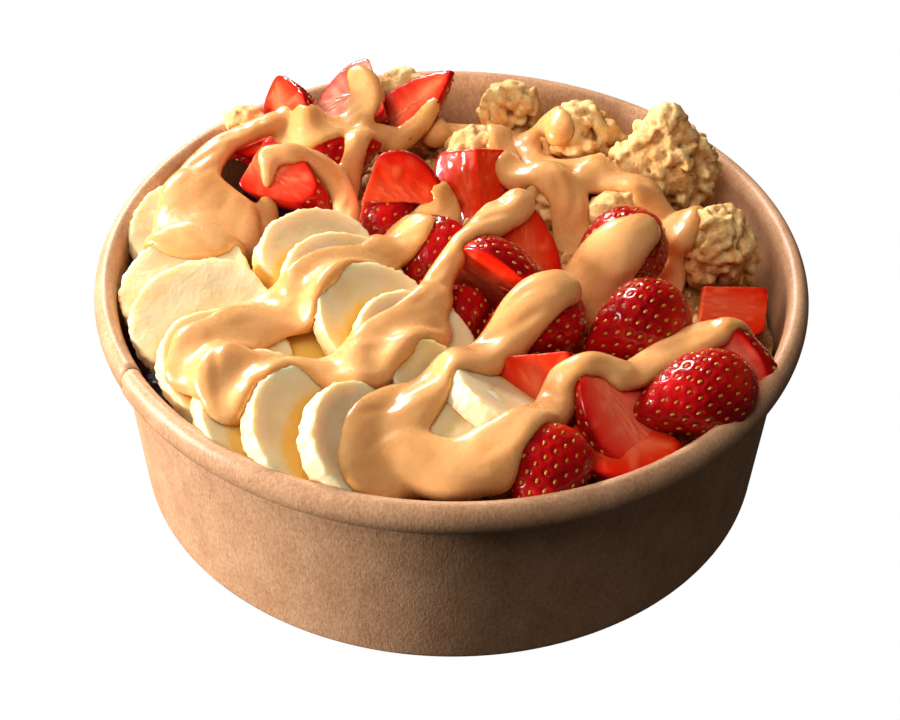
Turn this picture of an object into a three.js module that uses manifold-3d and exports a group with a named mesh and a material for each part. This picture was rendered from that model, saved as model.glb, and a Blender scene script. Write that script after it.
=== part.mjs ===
// A take-away acai bowl: a round kraft paper bowl with a rolled rim, filled with acai pulp and crumbled
// granola, and heaped with banana slices, cut strawberries and granola clusters under poured peanut butter.
// Millimetres, +Z up. The origin is the centre of the foot, on the surface that the bowl stands on.
// +Y is the granola side and -X the banana side.
import * as THREE from "three";
import { mergeVertices } from "three/addons/utils/BufferGeometryUtils.js";
import Module from "manifold-3d";

const wasm = await Module();
wasm.setup();

// ---------------------------------------------------------------- driving dimensions
const RIM_RADIUS = 75; // outside of the rolled rim
const BOWL_HEIGHT = 48.4;
const FOOT_RADIUS = 67;
const PAPER = 0.8; // wall, a little thicker than the coated board
const ROLL_WIDTH = 4.7; // the rolled rim's section
const ROLL_HEIGHT = 7.5;
const BASE_RECESS = 5; // the base disc sits this far above the foot
const GAP = 0.4; // clearance between pieces that touch
const THINNING = 0.12; // how far a face may move when triangles are saved

const BANANA_THICKNESS = 5.6;
const BANANA_BEVEL = 0.7;

const PULP_AT_WALL = 30; // height of the acai pulp along the wall
const PULP_RISE = 12; // how far it heaps up in the middle
const GRANOLA_AT_WALL = 33;
const GRANOLA_RISE = 12;

const UP = new THREE.Vector3(0, 0, 1);

// ---------------------------------------------------------------- solids and geometries
// A closed geometry as a manifold solid, with its shared vertices merged.
function solidOf(geometry) {
  const bare = geometry.clone();
  bare.deleteAttribute("normal");
  bare.deleteAttribute("uv");
  const merged = mergeVertices(bare, 1e-4);
  return new wasm.Manifold(
    new wasm.Mesh({
      numProp: 3,
      vertProperties: merged.attributes.position.array,
      triVerts: new Uint32Array(merged.index.array),
    }),
  );
}

// A manifold solid back as a geometry.
function geometryOf(solid) {
  const mesh = solid.getMesh();
  const geometry = new THREE.BufferGeometry();
  geometry.setAttribute("position", new THREE.BufferAttribute(new Float32Array(mesh.vertProperties), 3));
  geometry.setIndex(new THREE.BufferAttribute(new Uint32Array(mesh.triVerts), 1));
  return geometry;
}

// The largest body of a solid: cutting can leave loose scraps, which are dropped.
function largestBody(solid) {
  return solid.decompose().reduce((best, body) => (body.volume() > best.volume() ? body : best));
}

// The same solid with every face moved out by a distance.
function grown(solid, distance) {
  const geometry = geometryOf(solid);
  const position = geometry.attributes.position;
  const index = geometry.index.array;
  const corner = (i) => new THREE.Vector3().fromBufferAttribute(position, i);
  const around = Array.from({ length: position.count }, () => []);
  for (let i = 0; i < index.length; i += 3) {
    const [a, b, c] = [index[i], index[i + 1], index[i + 2]];
    const face = new THREE.Triangle(corner(a), corner(b), corner(c));
    const weighted = face.getNormal(new THREE.Vector3()).multiplyScalar(face.getArea());
    for (const v of [a, b, c]) around[v].push(weighted);
  }
  const MOST = 2.2; // how much further a sharp corner may move than its faces
  around.forEach((normals, v) => {
    const mean = normals.reduce((sum, n) => sum.add(n), new THREE.Vector3()).normalize();
    const facing = normals.filter((n) => n.length() > 1e-6).map((n) => n.clone().normalize().dot(mean));
    const reach = distance * Math.min(MOST, 1 / Math.max(0.05, Math.min(1, ...facing)));
    const moved = corner(v).addScaledVector(mean, reach);
    position.setXYZ(v, moved.x, moved.y, moved.z);
  });
  return solidOf(geometry);
}

// The same solid with fewer triangles. A corner is drawn along an edge into its neighbour where that leaves
// the surface closed, turns no face over, and moves no face round the corner by more than a tolerance.
function thinned(solid, tolerance) {
  const { attributes, index } = geometryOf(solid);
  const cornerAt = (v) => new THREE.Vector3().fromBufferAttribute(attributes.position, v);
  const points = Array.from({ length: attributes.position.count }, (_, v) => cornerAt(v));
  const cornersOf = (f) => [0, 1, 2].map((i) => index.getX(3 * f + i));
  const faces = Array.from({ length: index.count / 3 }, (_, f) => cornersOf(f));
  const around = points.map(() => new Set());
  faces.forEach((face, f) => face.forEach((v) => around[v].add(f)));
  const triangleOf = (face) => new THREE.Triangle(...face.map((v) => points[v]));
  const planeOf = (f) => triangleOf(faces[f]).getPlane(new THREE.Plane());
  const planes = around.map((ring) => [...ring].map(planeOf));
  const ringOf = (v) => new Set([...around[v]].flatMap((f) => faces[f]).filter((other) => other !== v));
  const LEAST_TURN = 0.5; // cosine of the most that a face may turn
  const LEAST_AREA = 1e-3;

  function canJoin(gone, kept) {
    const shared = [...ringOf(gone)].filter((v) => ringOf(kept).has(v));
    if (shared.length !== 2) return false;
    if (planes[gone].some((plane) => Math.abs(plane.distanceToPoint(points[kept])) > tolerance)) return false;
    return [...around[gone]].every((f) => {
      if (faces[f].includes(kept)) return true;
      const before = triangleOf(faces[f]);
      const after = triangleOf(faces[f].map((v) => (v === gone ? kept : v)));
      if (after.getArea() < LEAST_AREA) return false;
      const turn = before.getNormal(new THREE.Vector3()).dot(after.getNormal(new THREE.Vector3()));
      return turn > LEAST_TURN || before.getArea() < LEAST_AREA;
    });
  }

  function join(gone, kept) {
    for (const f of around[gone]) {
      if (faces[f].includes(kept)) {
        for (const v of faces[f]) if (v !== gone) around[v].delete(f);
        faces[f] = null;
      } else {
        faces[f] = faces[f].map((v) => (v === gone ? kept : v));
        around[kept].add(f);
      }
    }
    around[gone] = new Set();
    planes[kept].push(...planes[gone]);
  }

  for (let again = true; again; ) {
    again = false;
    for (let v = 0; v < points.length; v++) {
      if (!around[v].size) continue;
      const away = (other) => points[other].distanceTo(points[v]);
      const near = [...ringOf(v)].sort((a, b) => away(a) - away(b));
      const into = near.find((other) => canJoin(v, other));
      if (into === undefined) continue;
      join(v, into);
      again = true;
    }
  }
  const geometry = new THREE.BufferGeometry().setFromPoints(points);
  geometry.setIndex(faces.filter(Boolean).flat());
  return solidOf(geometry);
}

// Moves each vertex of a geometry by a function of its place.
function reshape(geometry, change) {
  const position = geometry.attributes.position;
  const p = new THREE.Vector3();
  for (let i = 0; i < position.count; i++) {
    change(p.fromBufferAttribute(position, i));
    position.setXYZ(i, p.x, p.y, p.z);
  }
  return geometry;
}

// A lathe solid turned about Z from [radius, height] points.
function turned(points, segments) {
  const profile = points.map(([r, z]) => new THREE.Vector2(r, z));
  return new THREE.LatheGeometry(profile, segments).rotateX(Math.PI / 2);
}

// Smooth noise from -1 to 1, from a hash of the corners of a unit grid.
function noise(x, y, z, seed) {
  const hash = (i, j, k) => {
    const n = Math.sin(i * 127.1 + j * 311.7 + k * 74.7 + seed * 53.3) * 43758.5453;
    return 2 * (n - Math.floor(n)) - 1;
  };
  const [i, j, k] = [Math.floor(x), Math.floor(y), Math.floor(z)];
  const fade = (t) => t * t * (3 - 2 * t);
  const [u, v, w] = [fade(x - i), fade(y - j), fade(z - k)];
  const mix = (a, b, t) => a + (b - a) * t;
  const edge = (b, c) => mix(hash(i, b, c), hash(i + 1, b, c), u);
  return mix(mix(edge(j, k), edge(j + 1, k), v), mix(edge(j, k + 1), edge(j + 1, k + 1), v), w);
}

// The turn that carries local -Z to a pointing direction and local +X as near as can be to a facing one.
function turnTo(pointing, facing) {
  const z = new THREE.Vector3(...pointing).normalize().negate();
  const towards = new THREE.Vector3(...facing);
  const x = towards.clone().addScaledVector(z, -z.dot(towards)).normalize();
  const y = new THREE.Vector3().crossVectors(z, x);
  return new THREE.Matrix4().makeBasis(x, y, z);
}

function placed(geometry, turn, at) {
  return geometry.applyMatrix4(turn).translate(...at);
}

// ---------------------------------------------------------------- the paper bowl
const UNDER_ROLL = BOWL_HEIGHT - ROLL_HEIGHT;
const WALL_SLOPE = (RIM_RADIUS - ROLL_WIDTH + PAPER - FOOT_RADIUS) / UNDER_ROLL;
const insideRadius = (z) => FOOT_RADIUS + WALL_SLOPE * z - PAPER;

function bowlGeometry() {
  const foldedIn = FOOT_RADIUS - 2 * PAPER; // the foot is the wall folded up inside itself
  const floorTop = BASE_RECESS + PAPER;
  const [rollX, rollZ] = [RIM_RADIUS - ROLL_WIDTH / 2, BOWL_HEIGHT - ROLL_HEIGHT / 2];
  // Round the roll from where it leaves the wall to its inner edge, in half turns.
  const roll = [-0.42, -0.25, 0, 0.25, 0.5, 0.75, 1].map((turn) => [
    rollX + (ROLL_WIDTH / 2) * Math.cos(turn * Math.PI),
    rollZ + (ROLL_HEIGHT / 2) * Math.sin(turn * Math.PI),
  ]);
  return turned(
    [
      [0, BASE_RECESS],
      [foldedIn, BASE_RECESS],
      [foldedIn, 0],
      [FOOT_RADIUS, 0],
      [insideRadius(UNDER_ROLL) + PAPER, UNDER_ROLL],
      ...roll,
      [insideRadius(UNDER_ROLL), UNDER_ROLL],
      [insideRadius(floorTop), floorTop],
      [0, floorTop],
    ],
    48,
  );
}

// ---------------------------------------------------------------- the filling
const DOME_RADIUS = 68; // how far out the filling's rise towards the middle begins
const dome = (x, y) => Math.max(0, 1 - (x * x + y * y) / DOME_RADIUS ** 2);
const pulpTop = (x, y) => PULP_AT_WALL + PULP_RISE * dome(x, y) + 0.8 * noise(x / 9, y / 9, 0, 3);

// The heap of loose granola lies on the pulp on the right and at the back, lumpy with its larger crumbs.
const granolaTop = (x, y) =>
  GRANOLA_AT_WALL +
  GRANOLA_RISE * dome(x, y) +
  1.3 * noise(x / 5, y / 5, 0, 7) +
  0.6 * noise(x / 2.6, y / 2.6, 0, 8);

// A filling from a flat bottom up to an uneven top, as wide as the bowl lets it be.
function fillingGeometry(top, bottom, rings) {
  const clear = 2 * GAP;
  const rim = insideRadius(top(DOME_RADIUS, 0)) - clear;
  const profile = [[0, 0], [rim, 0]];
  for (let i = rings; i >= 0; i--) profile.push([(rim * i) / rings, 1]);
  return reshape(turned(profile, 24), (p) => {
    const narrowing = (insideRadius(bottom) - clear) / rim;
    const isTop = p.z > 0.5;
    if (isTop) p.setZ(top(p.x, p.y));
    else p.set(p.x * narrowing, p.y * narrowing, bottom);
  });
}

const GRANOLA_EDGE = { x: -21, slant: 0.35 }; // the heap keeps to x > GRANOLA_EDGE.x - slant * y
const GRANOLA_BOTTOM = 24;

function granolaHeap() {
  const LARGE = 300;
  const pulpSide = new THREE.BoxGeometry(LARGE, LARGE, LARGE).translate(-LARGE / 2, 0, 0);
  pulpSide.rotateZ(Math.atan(GRANOLA_EDGE.slant)).translate(GRANOLA_EDGE.x, 0, 0);
  return solidOf(fillingGeometry(granolaTop, GRANOLA_BOTTOM, 5)).subtract(solidOf(pulpSide));
}

// ---------------------------------------------------------------- banana slices
// at: centre; faces: where the upper cut face looks; wide: diameter.
const BANANA_SLICES = {
  banana_back: { at: [-56.5, 14, 44], faces: [0.1, -0.2, 0.95], wide: 27 },
  banana_left: { at: [-55, -7, 46], faces: [-0.05, -0.25, 0.95], wide: 28 },
  banana_left_front: { at: [-50.5, -19.5, 47.4], faces: [0, -0.35, 0.93], wide: 29 },
  banana_wall_1: { at: [-44.5, -34.5, 47], faces: [0.25, -0.3, 0.9], wide: 28 },
  banana_wall_2: { at: [-37.5, -45.5, 46], faces: [0.35, -0.35, 0.87], wide: 27 },
  banana_wall_3: { at: [-27.5, -51.5, 46.5], faces: [0.45, -0.3, 0.82], wide: 27 },
  banana_wall_4: { at: [-17.5, -56, 47.5], faces: [0.55, -0.3, 0.78], wide: 25 },
  banana_inner_low: { at: [-35, -25, 45.5], faces: [0.1, -0.2, 0.97], wide: 26 },
  banana_inner_1: { at: [-28, -1, 49], faces: [0.3, -0.25, 0.9], wide: 26 },
  banana_inner_2: { at: [-22, -11.5, 50.5], faces: [0.3, -0.3, 0.9], wide: 26 },
  banana_inner_3: { at: [-16, -22.5, 51], faces: [0.3, -0.35, 0.88], wide: 25 },
  banana_inner_4: { at: [-8, -30.5, 50.5], faces: [0.3, -0.35, 0.88], wide: 25 },
  banana_scrap_1: { at: [-13.5, -39, 49], faces: [0.2, -0.5, 0.8], wide: 14 },
  banana_scrap_2: { at: [-5.5, -38.5, 50.5], faces: [0.3, -0.6, 0.7], wide: 14 },
  banana_front_1: { at: [1.5, -55.5, 48.5], faces: [-0.1, -0.3, 0.95], wide: 23 },
  banana_front_2: { at: [9.5, -46, 50], faces: [0.45, 0.25, 0.85], wide: 21 },
};

// A slice is a short cylinder with softened edges and the fruit's slightly three-sided outline.
function bananaSlice({ at, faces, wide }, seed) {
  const r = wide / 2;
  const h = BANANA_THICKNESS / 2;
  const b = BANANA_BEVEL;
  const disc = turned(
    [
      [0, -h],
      [r, -h],
      [r, h - b],
      [r - b, h],
      [0, h],
    ],
    16,
  );
  reshape(disc, (p) => {
    const a = Math.atan2(p.y, p.x);
    const lobes = 1 + 0.03 * Math.cos(3 * a + seed) + 0.02 * Math.cos(2 * a + 2 * seed);
    p.set(p.x * lobes, p.y * lobes, p.z);
  });
  const down = faces.map((c) => -c);
  return placed(disc, turnTo(down, [1, 0, 0]), at);
}

// ---------------------------------------------------------------- strawberries
// at: middle of the whole berry; tip: where its tip points; long and round: its length and radius. Each cut
// is the direction that its face looks in and its distance from the middle. seenAs takes both directions.
const STRAWBERRIES = {
  strawberry_rim_left: {
    at: [-44, 43.5, 49.5], tip: [-1, -0.15, 0], long: 22, round: 7.5,
    cuts: [[-0.1, 0.75, 0.65, 0]],
  },
  strawberry_back_left: {
    at: [-39, 49, 52], tip: [-0.3, 0.9, -0.1], long: 22, round: 10.5,
    cuts: [[-0.8, 0.05, 0.6, 0]],
  },
  strawberry_back: {
    at: [-23, 53, 55], tip: [-0.9, -0.3, 0], long: 21, round: 9,
    cuts: [[-0.35, 0.45, 0.8, 0], [0.9, 0.3, 0, 6]],
  },
  strawberry_back_right: {
    at: [-10.5, 51, 53], tip: [0.75, 0.6, 0.1], long: 27, round: 7.5,
    cuts: [[-0.5, 0.35, 0.8, 0]],
  },
  strawberry_arch: {
    at: [-36.5, 25.5, 51], tip: [0.9, -0.5, 0], long: 25, round: 7.2,
    cuts: [[-0.15, 0.2, 1, 2], [-0.85, 0.5, 0, 8.5], [-0.3, -0.85, 0.45, 5]],
  },
  strawberry_behind_arch: {
    at: [-26, 37.5, 48], tip: [0.8, 0.3, 0.1], long: 22, round: 7,
    cuts: [[0, -0.3, -1, 0]],
  },
  strawberry_upright: {
    at: [-10, 13.5, 54], tip: [0.9, -0.3, 0.1], long: 24, round: 11.5,
    cuts: [[0.05, 0.15, 1, 3], [0, -1, 0.1, 0], [-0.9, 0.3, 0, 9]],
  },
  strawberry_below_upright: {
    at: [-13.5, 14.5, 48], tip: [-0.4, -0.6, 0.3], long: 20, round: 8,
    cuts: [[0, 0.2, -1, 0]],
  },
  strawberry_middle_back: {
    at: [4.5, 24, 50], tip: [0.05, -0.9, 0.2], long: 26, round: 9,
    cuts: [[-0.55, 0, 0.8, 3], [0.65, 0.1, 0.75, 4], [-0.05, 1, 0, 9]],
  },
  strawberry_middle_left: {
    at: [-3.5, 0.5, 49], tip: [-0.6, -0.75, 0.2], long: 24, round: 9,
    cuts: [[0.5, 0.2, -0.8, 0]],
  },
  strawberry_cone: {
    at: [15, -1.5, 52], tip: [-0.05, 1, 0], long: 26, round: 8.8,
    cuts: [[0.45, 0.05, 0.9, 2]],
  },
  strawberry_middle: {
    at: [10.5, -13, 53], tip: [0.9, -0.25, 0.1], long: 26, round: 10,
    cuts: [[-0.5, -0.65, 0.55, 1]],
  },
  strawberry_middle_front: {
    at: [15.5, -23, 50], tip: [-0.8, -0.4, 0.3], long: 26, round: 9.5,
    cuts: [[0, 0, -1, 0]],
  },
  strawberry_right: {
    at: [34, -2.5, 52], tip: [-0.65, -0.65, 0.3], long: 26, round: 9.8,
    cuts: [[0, 0, -1, 0]],
  },
  strawberry_dark: {
    at: [37, -22.5, 50], tip: [-0.85, -0.5, 0.1], long: 25, round: 9.5,
    cuts: [[0, 0, -1, 0]],
  },
  strawberry_rim_right: {
    at: [58.5, -9, 45], tip: [1, -0.1, 0], long: 24, round: 9,
    cuts: [[0, 0.1, 1, 2], [-1, 0.1, 0, 6.5], [1, -0.1, 0, 7], [0, 1, 0, 4.5]],
  },
  strawberry_slab_right: {
    at: [58.5, -29.5, 47], tip: [0.85, -0.5, 0], long: 24, round: 7,
    cuts: [[-0.35, -0.3, 0.9, 3], [0.85, -0.4, 0.3, 8], [-0.85, 0.5, 0, 8]],
  },
  strawberry_front_right: {
    at: [47.5, -41.5, 48.5], tip: [-0.9, -0.3, 0.2], long: 28, round: 9.8,
    cuts: [[0, 0, -1, 0]],
  },
  strawberry_wedge: {
    at: [17.5, -39.5, 50], tip: [-0.05, -0.85, 0.45], long: 22, round: 9.5,
    cuts: [[-0.3, -0.1, 0.95, 1.5], [0, 0.9, -0.3, 5]],
  },
  strawberry_flesh_up: {
    at: [32.5, -46, 49], tip: [-0.5, 0.8, 0], long: 26, round: 9.8,
    cuts: [[0.45, 0.4, 0.8, 1.5]],
  },
  strawberry_front_low: {
    at: [35, -52.5, 46], tip: [1, 0.1, 0], long: 25, round: 8.5,
    cuts: [[0.1, 0.7, 0.7, 0]],
  },
  strawberry_front: {
    at: [18.5, -61.5, 45.5], tip: [-0.25, -0.85, 0.3], long: 22, round: 8.5,
    cuts: [[0, 0, -1, 0]],
  },
  strawberry_deep: {
    at: [2, -17.5, 45], tip: [0.2, -0.8, 0.5], long: 20, round: 8,
    cuts: [[0, 0, -1, 0]],
  },
};

// A direction as someone sees it who looks down at the bowl from the front: right, up and towards them.
const LOOKING_DOWN = THREE.MathUtils.degToRad(40);
function seenAs([right, up, towards]) {
  const [sin, cos] = [Math.sin(LOOKING_DOWN), Math.cos(LOOKING_DOWN)];
  return new THREE.Vector3(right, sin * up - cos * towards, cos * up + sin * towards).normalize().toArray();
}

// The whole berry is widest a little below its crown and tapers to a rounded tip at -Z.
const berryRadius = (t) => Math.pow(Math.sin(Math.PI * Math.pow(t, 0.72)), 0.75) * (1 - 0.12 * t);

function strawberry({ at, tip, long, round, cuts }, seed) {
  const STEPS = 6;
  const profile = [];
  for (let i = 0; i <= STEPS; i++) {
    const t = 1 - i / STEPS;
    profile.push([i % STEPS ? round * berryRadius(t) : 0, long * (0.5 - t)]);
  }
  const berry = turned(profile, 11);
  reshape(berry, (p) => {
    const a = Math.atan2(p.y, p.x);
    const lobes = 1 + 0.04 * Math.cos(2 * a + seed) + 0.03 * Math.cos(3 * a + 2 * seed);
    p.set(p.x * lobes, p.y * lobes, p.z);
  });
  const BLOCK = 60; // the knife is a block much larger than a berry
  let solid = solidOf(placed(berry, turnTo(seenAs(tip), seenAs(cuts[0])), at));
  for (const cut of cuts) {
    const [x, y, z] = seenAs(cut);
    const distance = cut[3];
    const knife = new THREE.BoxGeometry(BLOCK, BLOCK, BLOCK).translate(0, 0, -BLOCK / 2 - distance);
    solid = solid.subtract(solidOf(placed(knife, turnTo([x, y, z], [z, x, y]), at)));
  }
  return geometryOf(solid);
}

// ---------------------------------------------------------------- granola clusters
// at: centre; size: width, depth and height; peak: how far the top is drawn up to a point.
const CLUSTERS = {
  cluster_back_1: { at: [12.5, 59.5, 46.5], size: [13, 9, 14] },
  cluster_back_2: { at: [-11, 61, 49], size: [13, 7, 12] },
  cluster_rim_left: { at: [-46.8, 50.2, 48.6], size: [7.5, 5.5, 5] },
  cluster_back_3: { at: [28, 45, 48], size: [18, 14, 18] },
  cluster_peak: { at: [46, 34, 51.5], size: [24, 18, 29], peak: 0.75 },
  cluster_middle_1: { at: [5, 41, 47], size: [13, 11, 12] },
  cluster_middle_2: { at: [21.5, 25, 48.5], size: [14, 12, 12] },
  cluster_middle_3: { at: [32, 30, 47], size: [14, 11, 13] },
  cluster_middle_4: { at: [36, 19.5, 47.5], size: [13, 10, 12] },
  cluster_right: { at: [55.5, 8, 47.5], size: [16.5, 15, 18] },
};

function cluster({ at, size, peak = 0 }, seed) {
  const rough = size[0] > 16 ? 3 : size[0] > 12 ? 2 : 1;
  const lump = new THREE.IcosahedronGeometry(1, rough);
  reshape(lump, (p) => {
    const knobs = 0.2 * noise(p.x * 1.6, p.y * 1.6, p.z * 1.6, seed);
    const crags = knobs + 0.14 * noise(p.x * 3.6, p.y * 3.6, p.z * 3.6, seed + 9);
    const narrow = 1 - peak * Math.max(0, p.z);
    p.multiplyScalar(1 + crags);
    p.set((p.x * narrow * size[0]) / 2, (p.y * narrow * size[1]) / 2, (p.z * size[2]) / 2);
  });
  return lump.translate(...at);
}

// ---------------------------------------------------------------- peanut butter
// Each pour is a list of ropes that run into each other. via: plan points with the rope's width there; thick:
// how high it stands on what it lies on; taut: how straight it spans gaps that it crosses, from 0 to 1.
const POURS = {
  sauce_back_left: [
    { via: [[-22, 58, 6], [-20, 52, 9], [-22, 46, 8]], thick: 1.3, taut: 0.2 },
    { via: [[-22, 46, 8], [-28, 44, 10], [-34, 42, 9]], thick: 1.3, taut: 0.3 },
    { via: [[-27, 40, 7], [-32, 38, 8], [-37, 40, 7]], thick: 1.4, taut: 0.6 },
    { via: [[-37, 48, 4], [-45, 42, 6], [-52, 37, 7], [-57, 22, 12]], thick: 2.2, taut: 1 },
    { via: [[-57, 25, 11], [-57, 17, 15], [-55, 6, 15]], thick: 2.4, taut: 0.5 },
    { via: [[-53, 24, 10], [-50, 16, 14], [-48, 9, 14]], thick: 2.4, taut: 0.7 },
    { via: [[-62, 5, 8], [-53, 3, 9], [-43, 6, 8]], thick: 2.2, taut: 0.4 },
    { via: [[-51, 16, 13], [-43, 18, 12], [-36, 20, 9]], thick: 2.2, taut: 1 },
    { via: [[-50, 7, 8], [-44, 11, 9], [-37, 18, 7]], thick: 2.2, taut: 0.9 },
    { via: [[-40, 29, 4.5], [-40, 22, 4.5], [-40, 15, 5]], thick: 2.2, taut: 1 },
    { via: [[-40, 28, 5], [-34, 29, 6], [-26, 27, 6], [-23, 15, 5.5]], thick: 2.6, taut: 0.9 },
    { via: [[-15, 46, 4.5], [-21, 38, 6], [-24, 26, 6]], thick: 2.4, taut: 0.8 },
    { via: [[-3, 51, 3], [-8, 46, 6], [-14, 44, 6]], thick: 1, taut: 0 },
  ],
  sauce_patch: [
    { via: [[-3, 15, 5], [-4, 8, 10], [-8, 2, 11], [-12, 0, 10]], thick: 1.5, taut: 0.4 },
    { via: [[-12, 2, 9], [-15, -3, 9], [-18, -7, 9]], thick: 1.6, taut: 0.5 },
  ],
  sauce_bananas: [
    { via: [[13, 5, 9], [5, -4, 6.5], [-2, -14, 6], [-4, -20, 8]], thick: 3, taut: 0.95 },
    { via: [[-4, -21, 9], [-10, -29, 11], [-17, -37, 12]], thick: 2.2, taut: 0.5 },
    { via: [[-4, -28, 9], [-12, -35, 11], [-22, -40, 10]], thick: 2.2, taut: 0.5 },
    { via: [[-16, -40, 9], [-28, -39, 8], [-39, -41, 8]], thick: 2.4, taut: 0.6 },
    { via: [[-14, -4, 9], [-26, -13, 12], [-37, -22, 13.5], [-48, -33, 13]], thick: 1.7, taut: 0.4 },
    { via: [[-24, -11, 10], [-28, -17, 11], [-30, -21, 11]], thick: 1.4, taut: 0.4 },
    { via: [[-48, -34, 13], [-46, -41, 14], [-43, -47, 12]], thick: 2.8, taut: 0.3 },
    { via: [[-51, -33, 10], [-52, -39, 10]], thick: 2.4, taut: 0.2 },
    { via: [[-44, -41, 11], [-36, -42, 10]], thick: 2.4, taut: 0.3 },
  ],
  sauce_front: [
    { via: [[22, -20, 9], [15, -26, 12], [9, -32, 9]], thick: 2.8, taut: 0.6 },
    { via: [[10, -31, 9], [1, -40, 9], [-8, -50, 12]], thick: 2.6, taut: 0.8 },
    { via: [[-10, -50, 14], [-14, -55, 16], [-14, -61, 16]], thick: 2.6, taut: 0.3 },
    { via: [[-14, -61, 16], [-4, -63, 14], [7, -63, 13]], thick: 2.6, taut: 0.4 },
    { via: [[8, -61, 11], [15, -55, 9], [22, -45, 6.5]], thick: 2.6, taut: 0.6 },
    { via: [[20, -46, 7.5], [23, -42, 6.5], [33, -40, 6]], thick: 2.2, taut: 0.6 },
    { via: [[39, -4, 9], [32, -10, 12], [27, -13, 9]], thick: 2, taut: 0.5 },
    { via: [[33, -6, 10], [27, -8, 10], [23, -10, 7]], thick: 1.6, taut: 0.9 },
    { via: [[27, -13, 8], [24, -17, 7], [22, -21, 7]], thick: 1.6, taut: 0.6 },
    { via: [[64, -22, 5], [55, -27, 6], [46, -31, 9], [33, -41, 6]], thick: 2.2, taut: 0.9 },
  ],
  sauce_granola: [
    { via: [[-4, 49, 8], [5, 51, 10], [15, 46, 10], [22, 32, 9]], thick: 1.8, taut: 0.6 },
    { via: [[10, 42, 8], [11, 35, 8], [12, 28, 8]], thick: 1.8, taut: 0.5 },
    { via: [[18, 47, 7], [22, 45, 8], [23, 40, 8]], thick: 1.4, taut: 0.3 },
    { via: [[19, 31, 8], [25, 30, 7], [31, 29, 6]], thick: 1.5, taut: 0.4 },
    { via: [[14, 25, 7], [22, 22, 9], [26, 11, 8]], thick: 2, taut: 0.5 },
    { via: [[30, 25, 7], [40, 22, 8], [50, 20, 7]], thick: 1.7, taut: 0.5 },
    { via: [[40, 20, 8], [48, 14, 9], [48, 5, 8]], thick: 2, taut: 0.5 },
    { via: [[47, 9, 8], [46, 3, 8], [45, -1, 7]], thick: 2, taut: 0.5 },
  ],
};

// The height of the highest point of some geometries over a plan point, or 0 where there is nothing.
function surfaceOf(geometries) {
  const triangles = [];
  for (const geometry of geometries) {
    const index = geometry.index.array;
    for (let i = 0; i < index.length; i += 3) {
      const t = new THREE.Triangle();
      t.setFromAttributeAndIndices(geometry.attributes.position, index[i], index[i + 1], index[i + 2]);
      triangles.push({ t, box: new THREE.Box3().setFromPoints([t.a, t.b, t.c]) });
    }
  }
  const ray = new THREE.Ray(new THREE.Vector3(), UP.clone().negate());
  const hit = new THREE.Vector3();
  return (x, y) => {
    let top = 0;
    ray.origin.set(x, y, 2 * BOWL_HEIGHT);
    for (const { t, box } of triangles) {
      if (x < box.min.x || x > box.max.x || y < box.min.y || y > box.max.y || box.max.z < top) continue;
      if (ray.intersectTriangle(t.a, t.b, t.c, false, hit)) top = Math.max(top, hit.z);
    }
    return top;
  };
}

// A rope's centre line over the toppings: [x, y, height] points, and the width at each.
function draped({ via, taut }, surface) {
  const SPACING = 4;
  const RINGED = 8; // samples round each point
  const REACH = 0.32; // their distance from it, as a share of the width
  const TO_HIGHEST = 0.6; // how far it keeps to the highest of them rather than to their mean
  const route = new THREE.CatmullRomCurve3(via.map((p) => new THREE.Vector3(...p)), false, "centripetal");
  const steps = Math.max(3, Math.round(route.getLength() / SPACING));
  const spaced = route.getSpacedPoints(steps);
  const lying = spaced.map(({ x, y, z: width }) => {
    const under = [surface(x, y)];
    for (let i = 0; i < RINGED; i++) {
      const angle = (2 * Math.PI * i) / RINGED;
      under.push(surface(x + REACH * width * Math.cos(angle), y + REACH * width * Math.sin(angle)));
    }
    const mean = under.reduce((sum, z) => sum + z) / under.length;
    return TO_HIGHEST * Math.max(...under) + (1 - TO_HIGHEST) * mean;
  });
  const strung = [...lying];
  for (let i = 0; i <= steps; i++) {
    for (let j = i + 2; j <= steps; j++) {
      for (let k = i + 1; k < j; k++) {
        const chord = THREE.MathUtils.lerp(lying[i], lying[j], (k - i) / (j - i));
        strung[k] = Math.max(strung[k], chord);
      }
    }
  }
  const raised = lying.map((z, i) => THREE.MathUtils.lerp(z, strung[i], taut));
  const points = spaced.map(({ x, y }, i) => {
    const [before, after] = [raised[Math.max(0, i - 1)], raised[Math.min(steps, i + 1)]];
    return new THREE.Vector3(x, y, (before + 2 * raised[i] + after) / 4);
  });
  return { line: new THREE.CatmullRomCurve3(points, false, "centripetal"), widths: spaced.map((p) => p.z) };
}

// A rope is a sausage turned on a lathe, bent along its centre line and flatter below than above. Its round
// ends run past the line's ends.
function rope(facts, surface) {
  const SIDES = 6;
  const SPACING = 8;
  const BELOW = 1.5; // how deep it reaches under its centre line
  const { line, widths } = draped(facts, surface);
  const length = line.getLength();
  const steps = Math.max(2, Math.round(length / SPACING));
  const end = (0.4 * Math.min(...widths)) / length;
  const stations = [[0, -end], [0.7, -0.7 * end]];
  for (let i = 0; i <= steps; i++) stations.push([1, i / steps]);
  stations.push([0.7, 1 + 0.7 * end], [0, 1 + end]);
  const widthAt = (share) => {
    const i = Math.min(widths.length - 2, Math.floor(share * (widths.length - 1)));
    return THREE.MathUtils.lerp(widths[i], widths[i + 1], share * (widths.length - 1) - i);
  };
  return reshape(turned(stations, SIDES), (p) => {
    const along = Math.min(1, Math.max(0, p.z));
    const [across, up, past] = [p.x, p.y, (p.z - along) * length];
    const run = line.getTangentAt(along);
    const flank = new THREE.Vector3().crossVectors(UP, run).normalize();
    const over = new THREE.Vector3().crossVectors(run, flank);
    p.copy(line.getPointAt(along))
      .addScaledVector(run, past)
      .addScaledVector(flank, (across * widthAt(along)) / 2)
      .addScaledVector(over, up * (up > 0 ? facts.thick : BELOW));
  });
}

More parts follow.
